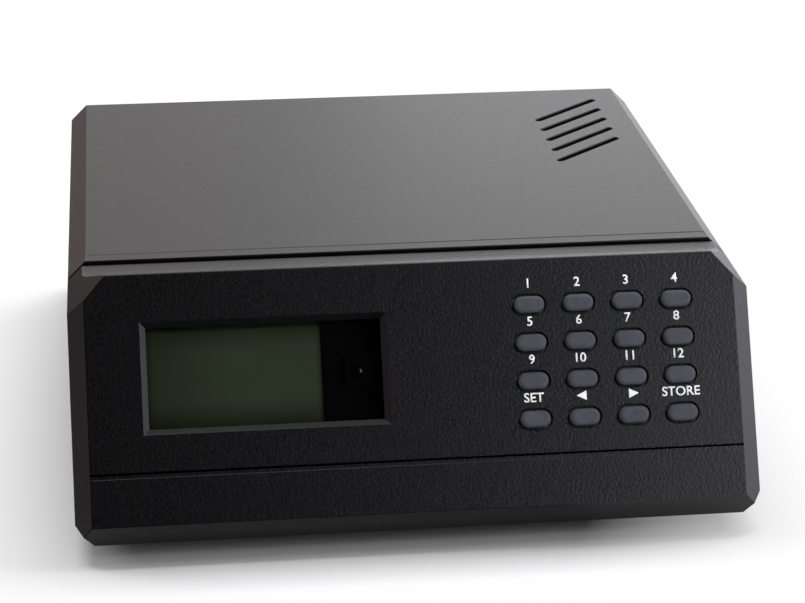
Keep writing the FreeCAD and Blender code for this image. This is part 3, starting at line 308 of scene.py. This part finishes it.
class Finish:
    """A material under way, with its node tree and its Principled shader."""

    def __init__(self, name, **values):
        self.material = bpy.data.materials.new(name)
        self.material.use_nodes = True
        self.tree = self.material.node_tree
        self.tree.nodes.clear()
        self.shader = add_node(self.tree, "ShaderNodeBsdfPrincipled")
        output = self.tree.nodes.new("ShaderNodeOutputMaterial")
        link(self.tree, self.shader.outputs["BSDF"], output.inputs["Surface"])
        for label, value in values.items():
            self.shader.inputs[label.replace("_", " ")].default_value = value

    def place(self, maker, **values):
        """Put a shared node group in the material with its own values."""
        node = self.tree.nodes.new("ShaderNodeGroup")
        node.node_tree = shared_group(maker)
        for label, value in values.items():
            node.inputs[label].default_value = value
        return node

    def drive(self, socket, source):
        """Feed a socket of the shader."""
        link(self.tree, source, self.shader.inputs[socket])

    def bump(self, height, distance):
        """Raise the surface by a height map."""
        node = add_node(self.tree, "ShaderNodeBump", Strength=1.0, Distance=distance)
        link(self.tree, height, node.inputs["Height"])
        self.drive("Normal", node.outputs["Normal"])

    def haze(self, scale, low, high, rough):
        """Let haze between low and high drive the roughness, from clear to rough."""
        clear = 0.03
        cloud = self.place(haze_group, Scale=scale)
        self.drive("Roughness", spread(self.tree, cloud.outputs["Haze"], low, high, clear, rough))


def moulded(name, colour, roughness, grain=0.36 * MM, depth=0.032 * MM, edge=1.5, mottle=6 * MM,
            specular=0.5):
    """Grained plastic or rubber: mottled tone, varied gloss, polished edges lightened as wear and as a
    painted highlight, and a bumped grain.
    """
    finish = Finish(name, Specular_IOR_Level=specular)
    tree = finish.tree
    skin = finish.place(grain_group, Grain=grain, Mottle=mottle)
    rim = finish.place(edge_group)
    tone = spread(tree, skin.outputs["Mottle"], 0.3, 0.7)
    body = blend(tree, tone, scaled(colour, 0.82), scaled(colour, 1.18))
    # edges lighter by the factor edge: wear, and a painted highlight on rounded rims
    wear_and_highlight = maths(tree, "MULTIPLY", rim.outputs["Edge"], 0.8)
    finish.drive("Base Color", blend(tree, wear_and_highlight, body, scaled(colour, edge)))
    gloss = spread(tree, skin.outputs["Speck"], 0.25, 0.75, roughness - 0.06, roughness + 0.06)
    polish = maths(tree, "MULTIPLY", rim.outputs["Edge"], 0.1)
    finish.drive("Roughness", maths(tree, "SUBTRACT", gloss, polish))
    finish.bump(skin.outputs["Height"], depth)
    return finish.material


def metal(name, colour, roughness, brush=(1, 1, 1), depth=0.01 * MM):
    """Plated or drawn metal with fine marks; brush stretches them along an axis."""
    finish = Finish(name, Metallic=1.0)
    tree = finish.tree
    skin = finish.place(brushed_group, Brush=brush)
    tone = spread(tree, skin.outputs["Stain"], 0.35, 0.65)
    finish.drive("Base Color", blend(tree, tone, scaled(colour, 0.8), colour))
    worked = spread(tree, skin.outputs["Marks"], 0.3, 0.7, roughness - 0.07, roughness + 0.09)
    finish.drive("Roughness", worked)
    finish.bump(skin.outputs["Marks"], depth)
    return finish.material


def dress(material, *nodes):
    """Give the material to CAD nodes."""
    for name in nodes:
        data = NODES[name].data
        data.materials.clear()
        data.materials.append(material)


# ---------------------------------------------------------------- mesh helpers
def to_object(mesh, name, material, body, place=None):
    """Finish a bmesh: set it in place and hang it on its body."""
    if place is not None:
        mesh.transform(place)
    data = bpy.data.meshes.new(name)
    mesh.to_mesh(data)
    mesh.free()
    data.materials.append(material)
    item = bpy.data.objects.new(name, data)
    bpy.context.scene.collection.objects.link(item)
    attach(item, body)
    return item


def text_mesh(words, height, film):
    """Printed figures as a thin solid about the origin, with the given height."""
    boldness = 0.016   # in the font's own units
    curve = bpy.data.curves.new("legend_outline", "FONT")
    curve.body = words
    curve.align_x = "CENTER"
    curve.offset = boldness
    curve.resolution_u = 4
    outline = bpy.data.objects.new("legend_outline", curve)
    bpy.context.scene.collection.objects.link(outline)
    bpy.context.view_layer.update()
    data = bpy.data.meshes.new_from_object(outline.evaluated_get(bpy.context.evaluated_depsgraph_get()))
    mesh = bmesh.new()
    mesh.from_mesh(data)
    bpy.data.objects.remove(outline)
    bpy.data.curves.remove(curve)
    bpy.data.meshes.remove(data)
    low, high = corners(mesh)
    size = height / (high.y - low.y)
    bmesh.ops.translate(mesh, verts=mesh.verts, vec=-(low + high) / 2)
    bmesh.ops.scale(mesh, verts=mesh.verts, vec=(size, size, size))
    return raised(mesh, film)


def corners(mesh):
    """The lowest and the highest corner of a bmesh."""
    low = Vector([min(vertex.co[axis] for vertex in mesh.verts) for axis in range(3)])
    high = Vector([max(vertex.co[axis] for vertex in mesh.verts) for axis in range(3)])
    return low, high


def raised(mesh, film):
    """Give a flat outline its film thickness, facing outwards."""
    bmesh.ops.remove_doubles(mesh, verts=mesh.verts, dist=WELD)
    bmesh.ops.recalc_face_normals(mesh, faces=mesh.faces)
    lifted = bmesh.ops.extrude_face_region(mesh, geom=mesh.faces[:])
    top = [item for item in lifted["geom"] if isinstance(item, bmesh.types.BMVert)]
    bmesh.ops.translate(mesh, verts=top, vec=(0, 0, film))
    bmesh.ops.recalc_face_normals(mesh, faces=mesh.faces)
    return mesh


def arrow_mesh(length, height, film, turn):
    """A printed triangle that points along X, or against it with turn."""
    mesh = bmesh.new()
    bmesh.ops.create_circle(mesh, cap_ends=True, segments=3, radius=1.0)
    bmesh.ops.rotate(mesh, verts=mesh.verts, matrix=Matrix.Rotation(-math.pi / 2, 3, "Z"))
    low, high = corners(mesh)
    spans = high - low
    bmesh.ops.scale(mesh, verts=mesh.verts, vec=(length / spans.x, height / spans.y, 1))
    bmesh.ops.rotate(mesh, verts=mesh.verts, matrix=Matrix.Rotation(turn, 3, "Z"))
    return raised(mesh, film)


def cross_outline(mesh, radius):
    """The closed outline of a driver's cross, for a screw head of the given radius."""
    arm, side = radius * 0.66, radius * 0.16
    quarter = [Vector((side, side, 0)), Vector((side, arm, 0)), Vector((-side, arm, 0))]
    ring = [mesh.verts.new(Matrix.Rotation(math.pi / 2 * turn, 3, "Z") @ point)
            for turn in range(4) for point in quarter]
    for first, second in zip(ring, ring[1:] + ring[:1]):
        mesh.edges.new((first, second))


def recess_mesh(radius, thickness, plate):
    """The floor of a driver recess, or with plate the round plate that leaves the cross open."""
    mesh = bmesh.new()
    if plate:
        bmesh.ops.create_circle(mesh, segments=32, radius=radius)
    cross_outline(mesh, radius)
    bmesh.ops.triangle_fill(mesh, use_beauty=True, edges=mesh.edges[:])
    return raised(mesh, thickness)


def screw_heads(node, out):
    """The middle and the radius of each head in a node of screws that face along out, from left to right."""
    order = Vector((1.0, 0.1, 0.01))   # left to right before front to back before low to high
    mesh = bmesh.new()
    mesh.from_mesh(NODES[node].data)
    bmesh.ops.remove_doubles(mesh, verts=mesh.verts, dist=WELD)
    waiting = set(mesh.verts)
    heads = []
    while waiting:
        screw, front = set(), [waiting.pop()]
        while front:
            vertex = front.pop()
            screw.add(vertex)
            fresh = {edge.other_vert(vertex) for edge in vertex.link_edges} & waiting
            waiting -= fresh
            front.extend(fresh)
        level = max(vertex.co.dot(out) for vertex in screw)
        rim = sorted(tuple(vertex.co) for vertex in screw if level - vertex.co.dot(out) < SLACK)
        middle = sum(map(Vector, rim), Vector()) / len(rim)
        heads.append((middle, max((Vector(point) - middle).length for point in rim)))
    mesh.free()
    return sorted(heads, key=lambda head: head[0].dot(order))


def add_recesses(node, out, material):
    """Give the screws of a node their driver recesses: a near-black sheet on each head as painted shade in
    the recess floor, and a plate round each cross.
    """
    cover = 0.92      # how much of a head's radius the plate takes up
    turn_each = 1.1   # in radians, so that no two screws stop at one angle
    turn = out.to_track_quat("Z", "Y").to_matrix().to_4x4()
    # painted shade: the recess floors are a near-black sheet, standing in for the shade of a deep recess
    dark = moulded("recess_" + node, (0.006, 0.006, 0.006), 0.8, depth=0.002 * MM, specular=0.1)
    layers = (("shade_floors", dark, 0.02 * MM, False), ("rims", material, 0.25 * MM, True))
    for label, finish, thickness, plate in layers:
        joined = bmesh.new()
        for number, (middle, radius) in enumerate(screw_heads(node, out), start=1):
            driven = Matrix.Rotation(number * turn_each, 4, "Z")
            single = recess_mesh(radius * cover, thickness, plate)
            single.transform(Matrix.Translation(middle) @ turn @ driven)
            data = bpy.data.meshes.new(label)
            single.to_mesh(data)
            single.free()
            joined.from_mesh(data)
            bpy.data.meshes.remove(data)
        to_object(joined, "%s_%s" % (node, label), finish, "case")


# ---------------------------------------------------------------- operators
class ROTATOR_OT_case(Operator):
    """Finish the two halves of the case, the front moulding and the rear panel"""
    bl_idname = "rotator.case"
    bl_label = "Case"

    def execute(self, context):
        finish = context.scene.rotator_finish
        colour, rough, grain = finish.case_colour, finish.case_roughness, finish.grain_size
        dress(moulded("case_plastic", colour, rough, grain=grain), "top_cover", "bottom_case")
        front = moulded("front_plastic", colour, rough, grain=finish.front_grain, depth=0.042 * MM)
        finish_groove(front)
        pitch_corners(front)
        dress(front, "front_bezel")
        dress(moulded("panel_plastic", colour, rough + 0.06, grain=grain), "rear_panel")
        return {"FINISHED"}


def finish_groove(plastic):
    """Paint shade into the moulded line across the face so that it reads black, and paint a highlight under
    it: a thin lighter band that fades out to the right, in place of light caught by a fine edge.

    The line's own walls are too close together to catch any light or shade of their own.
    """
    depth = 0.5 * MM
    highlight_drop = 1.1 * MM
    highlight_half = 0.11 * MM
    bright_end, dark_end = -20 * MM, 80 * MM
    floor = FACE_LEVEL - depth
    moulding = NODES["front_bezel"].data
    ends = [moulding.vertices[index].co for polygon in moulding.polygons for index in polygon.vertices
            if polygon.normal.dot(FACE_OUT) > 0.99 and abs(polygon.center.dot(FACE_OUT) - floor) < SLACK]
    sides = [end.dot(FACE_RIGHT) for end in ends]
    rise = [end.dot(FACE_UP) for end in ends]
    tree = plastic.node_tree
    shader = tree.nodes["Principled BSDF"]
    where = object_place(tree)
    right, up, out = [along(tree, where, axis) for axis in (FACE_RIGHT, FACE_UP, FACE_OUT)]

    def within(place, low, high):
        """1 where a place lies between low and high."""
        return near(tree, place, (low + high) / 2, (high - low) / 2)

    across = within(right, min(sides) - SLACK, max(sides) + SLACK)
    sunk = spread(tree, out, FACE_LEVEL - 0.12 * MM, FACE_LEVEL - 0.04 * MM, 1.0, 0.0)
    inside = maths(tree, "MULTIPLY", across, within(up, min(rise) - SLACK, max(rise) + SLACK))
    # painted shade: Metallic 1 over the near-black base makes the groove's floor render black
    link(tree, maths(tree, "MULTIPLY", sunk, inside), shader.inputs["Metallic"])
    # painted highlight: a thin band of lighter base colour under the groove, fading out to the right
    below = maths(tree, "MULTIPLY", across, near(tree, up, min(rise) - highlight_drop, highlight_half))
    painted_highlight = maths(tree, "MULTIPLY", below, spread(tree, right, bright_end, dark_end, 1.0, 0.0))
    plain = shader.inputs["Base Color"].links[0].from_socket
    link(tree, blend(tree, painted_highlight, plain, (0.026, 0.026, 0.028)), shader.inputs["Base Color"])


def pitch_corners(plastic):
    """Shade the cut corners of the front moulding as pitched forward, by a normal under the grain."""
    diagonal = math.sqrt(0.5)
    forward = (0.0, -0.38, 0.0)
    tree = plastic.node_tree
    facing = tree.nodes.new("ShaderNodeNewGeometry").outputs["True Normal"]
    cut = near(tree, maths(tree, "ABSOLUTE", along(tree, facing, FACE_RIGHT)), diagonal, 0.05)
    upward = maths(tree, "GREATER_THAN", along(tree, facing, Vector((0, 0, 1))), 0.6)
    corner = maths(tree, "MULTIPLY", cut, upward)
    pitched = vector_maths(tree, "NORMALIZE", vector_maths(tree, "MULTIPLY_ADD", forward, corner, facing))
    link(tree, pitched, tree.nodes["Bump"].inputs["Normal"])


class ROTATOR_OT_display(Operator):
    """Finish the display window, the liquid-crystal display behind it and the remote receiver"""
    bl_idname = "rotator.display"
    bl_label = "Display"

    def execute(self, context):
        finish = context.scene.rotator_finish
        window = Finish("window_tint", Base_Color=(0.001, 0.001, 0.0012, 1), Alpha=0.34)
        window.haze(900.0, 0.6, 0.8, 0.12)
        dress(window.material, "display_window")
        glass = Finish("display_glass", Roughness=0.25, Specular_IOR_Level=0.4)
        cloud = glass.place(haze_group, Scale=90.0).outputs["Haze"]
        # painted shade: the display falls to the dark olive at its borders and is darker towards the left,
        # on top of its random haze
        tone = maths(glass.tree, "MULTIPLY", spread(glass.tree, cloud, 0.3, 0.7, 0.92, 1.0),
                     glow_mask(glass.tree, "lcd_glass"))
        field = blend(glass.tree, tone, (0.022, 0.026, 0.004), tuple(finish.display_colour))
        glass.drive("Base Color", field)
        dress(glass.material, "lcd_glass")
        black = (0.001, 0.001, 0.001)
        dress(moulded("frame_black", black, 0.7, specular=0.15), "lcd_frame")
        dress(moulded("light_guide", (0.72, 0.74, 0.66), 0.5, edge=1.0), "lcd_backlight")
        dress(moulded("receiver_epoxy", black, 0.5, depth=0.005 * MM, specular=0.2), "ir_receiver")
        add_receiver_lens()
        return {"FINISHED"}


def glow_mask(tree, node):
    """A mask over a pane on the face: 1 in its field, falling off towards its borders as painted shade from
    the window frame, and darker towards the left.
    """
    border_shade, left_side = 0.35, 0.56
    where = object_place(tree)
    mask = 1.0
    for axis, hidden, fade in ((FACE_RIGHT, 0.6 * MM, 1.8 * MM), (FACE_UP, 1.8 * MM, 7.5 * MM)):
        first, last = reach(node, axis)
        low, high = first + hidden, last - hidden
        place = along(tree, where, axis)
        for edge, inner in ((low, low + fade), (high, high - fade)):
            mask = maths(tree, "MULTIPLY", mask, spread(tree, place, edge, inner, border_shade, 1.0))
        if axis is FACE_RIGHT:
            leftward = spread(tree, place, low, (low + high) / 2, left_side, 1.0)
            mask = maths(tree, "MULTIPLY", mask, leftward)
    return mask


def add_receiver_lens():
    """A dark domed lens over the receiver's eye."""
    radius = 1.05 * MM
    flatness = 0.35
    finish = Finish("lens_epoxy", Base_Color=(0.004, 0.002, 0.003, 1), Coat_Weight=1.0)
    finish.haze(700.0, 0.4, 0.8, 0.1)
    mesh = bmesh.new()
    bmesh.ops.create_uvsphere(mesh, u_segments=32, v_segments=16, radius=radius)
    bmesh.ops.scale(mesh, verts=mesh.verts, vec=(1, 1, flatness))
    top = reach("ir_receiver", FACE_OUT)[1]
    place = face_matrix(middle_of("ir_receiver"), top - FACE_LEVEL)
    lens = to_object(mesh, "receiver_lens", finish.material, "case", place)
    for polygon in lens.data.polygons:
        polygon.use_smooth = True


class ROTATOR_OT_keys(Operator):
    """Finish the sixteen rubber keys and the mat behind them"""
    bl_idname = "rotator.keys"
    bl_label = "Keys"

    def execute(self, context):
        finish = context.scene.rotator_finish
        # edge 2.1 lightens the key rims strongly: wear, and a painted highlight on their rounded rims
        rubber = moulded("key_rubber", finish.key_colour, 0.58, grain=0.45 * MM, depth=0.03 * MM,
                         edge=2.1, mottle=3 * MM, specular=0.35)
        dress(rubber, *KEYS)
        dress(moulded("mat_rubber", (0.008, 0.008, 0.009), 0.7), "keypad_mat")
        return {"FINISHED"}


class ROTATOR_OT_legends(Operator):
    """Print the keys' legends on the face"""
    bl_idname = "rotator.legends"
    bl_label = "Legends"

    def execute(self, context):
        sizes = context.scene.rotator_legends
        colour = context.scene.rotator_finish.print_colour
        ink = moulded("legend_ink", colour, 0.55, depth=0.01 * MM, edge=1.0)
        words = {key: str(number) for number, key in enumerate(KEYS[:12], start=1)}
        words.update(key_set="SET", key_store="STORE")
        for key in KEYS:
            if key in words:
                mesh = text_mesh(words[key], sizes.letter_height, sizes.film)
            else:
                turn = math.pi if key == "key_left" else 0.0
                mesh = arrow_mesh(sizes.arrow_length, sizes.letter_height, sizes.film, turn)
            place = face_matrix(middle_of(key)) @ Matrix.Translation((0, sizes.lift, 0))
            to_object(mesh, key.replace("key", "legend"), ink, "case", place)
        return {"FINISHED"}


class ROTATOR_OT_rear(Operator):
    """Finish the terminals, their screws and the cord gland, and the plated parts inside"""
    bl_idname = "rotator.rear"
    bl_label = "Rear Fittings"

    def execute(self, context):
        dress(moulded("terminal_phenolic", (0.012, 0.011, 0.011), 0.3, depth=0.02 * MM), "terminal_block")
        dress(moulded("gland_nylon", (0.010, 0.010, 0.010), 0.42), "cord_gland")
        dress(metal("nickel_plate", (0.56, 0.54, 0.48), 0.33), "terminal_plates", "fuse_clips", "crystal")
        screws = metal("bright_zinc", (0.60, 0.61, 0.63), 0.30, depth=0.002 * MM)
        dress(screws, "terminal_screws")
        add_recesses("terminal_screws", Vector((0, 1, 0)), screws)
        return {"FINISHED"}


class ROTATOR_OT_feet(Operator):
    """Finish the rubber feet and the screws"""
    bl_idname = "rotator.feet"
    bl_label = "Feet and Screws"

    def execute(self, context):
        dress(moulded("foot_rubber", (0.014, 0.014, 0.014), 0.75, grain=0.6 * MM), "rubber_feet")
        steel = metal("zinc_steel", (0.50, 0.49, 0.46), 0.34, depth=0.003 * MM)
        dress(steel, "terminal_mount_screws", "case_screws", "board_screws", "strap_screws",
              "display_screws", "key_board_screws")
        add_recesses("terminal_mount_screws", Vector((0, 1, 0)), steel)
        add_recesses("case_screws", Vector((0, 0, -1)), steel)
        return {"FINISHED"}


class ROTATOR_OT_works(Operator):
    """Finish the boards, the transformer and the other parts inside"""
    bl_idname = "rotator.works"
    bl_label = "Inner Works"

    def execute(self, context):
        mask = context.scene.rotator_finish.board_colour
        dress(moulded("circuit_board", mask, 0.3, depth=0.01 * MM, edge=1.3), "main_board", "key_board")
        black = moulded("black_board", (0.001, 0.001, 0.001), 0.6, depth=0.01 * MM, specular=0.2)
        dress(black, "display_board")
        dress(moulded("chip_epoxy", (0.012, 0.012, 0.012), 0.5), "relays", "chip_socket", "control_chip",
              "bridge_rectifier", "voltage_regulator")
        dress(moulded("capacitor_sleeve", (0.02, 0.03, 0.10), 0.25, depth=0.01 * MM), "filter_capacitors")
        dress(moulded("plug_nylon", (0.70, 0.68, 0.60), 0.45, edge=1.05), "board_plugs")
        dress(moulded("coil_tape", (0.55, 0.40, 0.08), 0.35, depth=0.02 * MM), "transformer_winding")
        dress(metal("core_laminations", (0.20, 0.19, 0.18), 0.5, brush=(1, 30, 1)), "transformer_core")
        dress(metal("strap_steel", (0.35, 0.34, 0.33), 0.4), "transformer_strap", "capacitor_strap")
        dress(metal("drawn_can", (0.78, 0.78, 0.78), 0.3, brush=(1, 20, 20)), "motor_capacitor")
        dress(metal("black_anodised", (0.03, 0.03, 0.03), 0.4), "heat_sink")
        fuse = Finish("fuse_glass", Base_Color=(0.85, 0.88, 0.88, 1), Transmission_Weight=1.0)
        fuse.haze(400.0, 0.4, 0.8, 0.12)
        dress(fuse.material, "fuse")
        return {"FINISHED"}


class ROTATOR_OT_stage(Operator):
    """Set up the floor, the light and the camera"""
    bl_idname = "rotator.stage"
    bl_label = "Stage"

    def execute(self, context):
        stage = context.scene.rotator_stage
        context.scene.view_settings.view_transform = "Standard"
        make_world(stage)
        floor = make_floor()
        make_cards()
        make_lamps(stage, floor)
        make_camera(stage)
        return {"FINISHED"}


def seen_directly(tree):
    """1 for rays from the camera, or by way of gloss or glass; 0 for light."""
    path = tree.nodes.new("ShaderNodeLightPath")
    seen = maths(tree, "MAXIMUM", path.outputs["Is Camera Ray"], path.outputs["Is Glossy Ray"])
    return maths(tree, "MAXIMUM", seen, path.outputs["Is Transmission Ray"])


def seen_or_lighting(tree, output, seen_share, lighting, seen):
    """Show one shader to rays that see it and another to light, and put the mix in the output."""
    mix = tree.nodes.new("ShaderNodeMixShader")
    link(tree, seen_share, mix.inputs["Fac"])
    link(tree, lighting, mix.inputs[1])
    link(tree, seen, mix.inputs[2])
    link(tree, mix.outputs["Shader"], tree.nodes.new(output).inputs["Surface"])


def make_world(stage):
    """White wherever it is seen, and an even, plain level of light otherwise."""
    world = bpy.data.worlds.new("studio_world")
    bpy.context.scene.world = world
    world.use_nodes = True
    tree = world.node_tree
    tree.nodes.clear()
    light, white = [add_node(tree, "ShaderNodeBackground", Color=(1, 1, 1, 1), Strength=strength)
                    for strength in (stage.ambient, 1.0)]
    seen_or_lighting(tree, "ShaderNodeOutputWorld", seen_directly(tree),
                     light.outputs["Background"], white.outputs["Background"])


def stage_material(name):
    """An empty stage material. Returns it and its node tree."""
    material = bpy.data.materials.new(name)
    material.use_nodes = True
    material.node_tree.nodes.clear()
    return material, material.node_tree


def flat_panel(name, width, length, material, place):
    """A flat stage panel that faces its own Z."""
    mesh = bmesh.new()
    bmesh.ops.create_grid(mesh, x_segments=1, y_segments=1, size=0.5)
    bmesh.ops.scale(mesh, verts=mesh.verts, vec=(width, length, 1))
    mesh.transform(place)
    data = bpy.data.meshes.new(name)
    mesh.to_mesh(data)
    mesh.free()
    data.materials.append(material)
    panel = bpy.data.objects.new(name, data)
    bpy.context.scene.collection.objects.link(panel)
    return panel


def make_floor():
    """Pale floor: it takes the object's shadow, and away from the object it is as white as the world."""
    stretch = (1.7, 0.8, 1.0)   # the shadow reaches further to the front than to the sides
    shift = (0.03, 0.0, 0.0)    # and it falls to the left
    shadow, white_floor = 0.14, 0.30
    under_feet = Matrix.Translation((0, 0, -0.0002))
    floor, tree = stage_material("pale_floor")
    paper = add_node(tree, "ShaderNodeBsdfDiffuse", Color=(0.88, 0.88, 0.88, 1))
    white = add_node(tree, "ShaderNodeEmission", Strength=1.0)
    away = vector_maths(tree, "LENGTH",
                        vector_maths(tree, "MULTIPLY_ADD", object_place(tree), stretch, shift))
    far = spread(tree, away, shadow, white_floor)
    seen_or_lighting(tree, "ShaderNodeOutputMaterial", maths(tree, "MULTIPLY", seen_directly(tree), far),
                     paper.outputs["BSDF"], white.outputs["Emission"])
    return flat_panel("floor", 30.0, 30.0, floor, under_feet)


def looking(position, target):
    """A place whose Z axis points from the position to the target."""
    way = (Vector(target) - Vector(position)).normalized()
    return Matrix.Translation(position) @ way.to_track_quat("Z", "Y").to_matrix().to_4x4()


def upright(x, y, z, facing):
    """A place for a vertical panel whose Z axis points along a level direction, in degrees from +X."""
    turn = Matrix.Rotation(math.radians(facing + 90), 4, "Z") @ Matrix.Rotation(math.pi / 2, 4, "X")
    return Matrix.Translation((x, y, z)) @ turn


def lying(x, y, z):
    """A place for a panel that lies level, facing up."""
    return Matrix.Translation((x, y, z))


def make_cards():
    """Cards that only reflections see: dark before the face, pale behind and above, dim on the left."""
    black = (0.0, 0.0, 0.0)
    off_floor = 0.5 * MM
    for name, colour, size, place in (
            ("dark_card", black, (4.8, 2.6), upright(-1.64, -1.7, 1.1, 90)),
            ("dark_mat", black, (3.0, 1.58), lying(-1.45, -0.912, off_floor)),
            ("dark_ceiling", black, (4.2, 2.0), lying(-1.77, -0.7, 1.9)),
            ("pale_card", (0.90, 0.83, 0.84), (0.5, 1.5), upright(-0.25, 1.9, 0.75, 270)),
            ("warm_card", (0.40, 0.30, 0.30), (1.7, 1.5), upright(-1.35, 1.9, 0.75, 270)),
            ("warm_mat", (0.31, 0.23, 0.23), (2.1, 1.75), lying(-1.25, 1.02, off_floor)),
            ("top_card", (2.0, 2.0, 2.0), (3.0, 1.2), lying(0.0, 0.92, 1.9)),
            ("dim_card", (0.42, 0.36, 0.36), (2.4, 1.8), upright(-1.9, 0.2, 0.6, 0))):
        paint, tree = stage_material(name)
        glow = add_node(tree, "ShaderNodeEmission", Color=(*colour, 1), Strength=1.0)
        output = tree.nodes.new("ShaderNodeOutputMaterial")
        link(tree, glow.outputs["Emission"], output.inputs["Surface"])
        card = flat_panel(name, *size, paint, place)
        for ray in ("camera", "diffuse", "transmission", "shadow", "volume_scatter"):
            setattr(card, "visible_" + ray, False)


def add_lamp(name, power, size, place, tint, glossy):
    """A rectangular softbox that shines along Z. It lights by gloss alone, or by all but gloss."""
    lamp = bpy.data.lights.new(name, "AREA")
    lamp.shape = "RECTANGLE"
    lamp.size, lamp.size_y = size
    lamp.energy = power
    lamp.color = tint
    item = bpy.data.objects.new(name, lamp)
    item.matrix_world = place @ Matrix.Rotation(math.pi, 4, "X")
    item.visible_camera = False
    item.visible_diffuse = not glossy
    item.visible_glossy = glossy
    bpy.context.scene.collection.objects.link(item)
    return item


def make_lamps(stage, floor):
    """Two lights from above, a fill that spares the floor, and three softboxes for gloss alone."""
    middle = (0, 0, 0.04)
    pale, white = (1.0, 0.98, 1.0), (1.0, 1.0, 1.0)
    tilt = math.pi - math.atan2(1.05, 1.68)
    above = lying(0.2, 0.97, 1.75) @ Matrix.Rotation(tilt, 4, "X")
    right, front = looking((1.30, 0.35, 1.25), middle), looking((0.45, -1.1, 1.35), middle)
    add_lamp("key_softbox", stage.key_power, (2.4, 0.40), above, pale, False)
    add_lamp("right_softbox", stage.right_power, (0.5, 0.5), right, pale, False)
    fill = add_lamp("fill_softbox", stage.fill_power, (0.7, 0.5), front, white, False)
    spared = bpy.data.collections.new("fill_spares")
    spared.objects.link(floor)
    fill.light_linking.receiver_collection = spared
    spared.collection_objects[0].light_linking.link_state = "EXCLUDE"
    for name, share, size, place, tint in (
            ("front_softbox", 1.15, (0.6, 1.1), upright(0.97, -1.40, 0.60, 125), (0.99, 0.98, 1.12)),
            ("side_softbox", 0.93, (2.0, 0.8), upright(1.35, 0.15, 0.40, 180), (1.0, 0.98, 1.16)),
            ("back_softbox", 0.80, (1.9, 0.8), upright(1.05, 1.75, 0.40, 240), (1.04, 1.0, 1.05))):
        add_lamp(name, stage.gloss_power * share, size, place, tint, True)


def make_camera(stage):
    """The camera, a little above and to the left of the object."""
    place = Vector((-0.08056, -0.71705, 0.33162))
    right = Vector((0.99291, -0.11879, 0.00476)).normalized()
    forward = Vector((0.11142, 0.91586, -0.38573)).normalized()
    up = right.cross(forward).normalized()
    lens = bpy.data.cameras.new("camera")
    lens.sensor_width = 36.0
    lens.lens = stage.lens
    camera = bpy.data.objects.new("camera", lens)
    turn = Matrix((right, up, -forward)).transposed().to_4x4()
    camera.matrix_world = Matrix.Translation(place) @ turn
    bpy.context.scene.collection.objects.link(camera)
    bpy.context.scene.camera = camera


class ROTATOR_PT_panel(Panel):
    """Sizes, colours and steps of the rotator controller"""
    bl_idname = "ROTATOR_PT_panel"
    bl_label = "Rotator Controller"
    bl_space_type = "VIEW_3D"
    bl_region_type = "UI"
    bl_category = "Rotator"

    def draw(self, context):
        column = self.layout.column()
        scene = context.scene
        for settings in (scene.rotator_finish, scene.rotator_legends, scene.rotator_stage):
            for name in settings.__annotations__:
                column.prop(settings, name)
        for operator in OPERATORS:
            column.operator(operator.bl_idname)


OPERATORS = (ROTATOR_OT_case, ROTATOR_OT_display, ROTATOR_OT_keys, ROTATOR_OT_legends,
             ROTATOR_OT_rear, ROTATOR_OT_feet, ROTATOR_OT_works, ROTATOR_OT_stage)
SETTINGS = (FinishSettings, LegendSettings, StageSettings)


def register():
    """Register the classes and hang the settings on the scene."""
    for item in SETTINGS + OPERATORS + (ROTATOR_PT_panel,):
        bpy.utils.register_class(item)
    bpy.types.Scene.rotator_finish = PointerProperty(type=FinishSettings)
    bpy.types.Scene.rotator_legends = PointerProperty(type=LegendSettings)
    bpy.types.Scene.rotator_stage = PointerProperty(type=StageSettings)


def unregister():
    """Take the settings and the classes away again."""
    del bpy.types.Scene.rotator_stage
    del bpy.types.Scene.rotator_legends
    del bpy.types.Scene.rotator_finish
    for item in reversed(SETTINGS + OPERATORS + (ROTATOR_PT_panel,)):
        bpy.utils.unregister_class(item)


def main():
    register()
    bpy.ops.rotator.case()
    bpy.ops.rotator.display()
    bpy.ops.rotator.keys()
    bpy.ops.rotator.legends()
    bpy.ops.rotator.rear()
    bpy.ops.rotator.feet()
    bpy.ops.rotator.works()
    bpy.ops.rotator.stage()


if __name__ == "__main__":
    main()
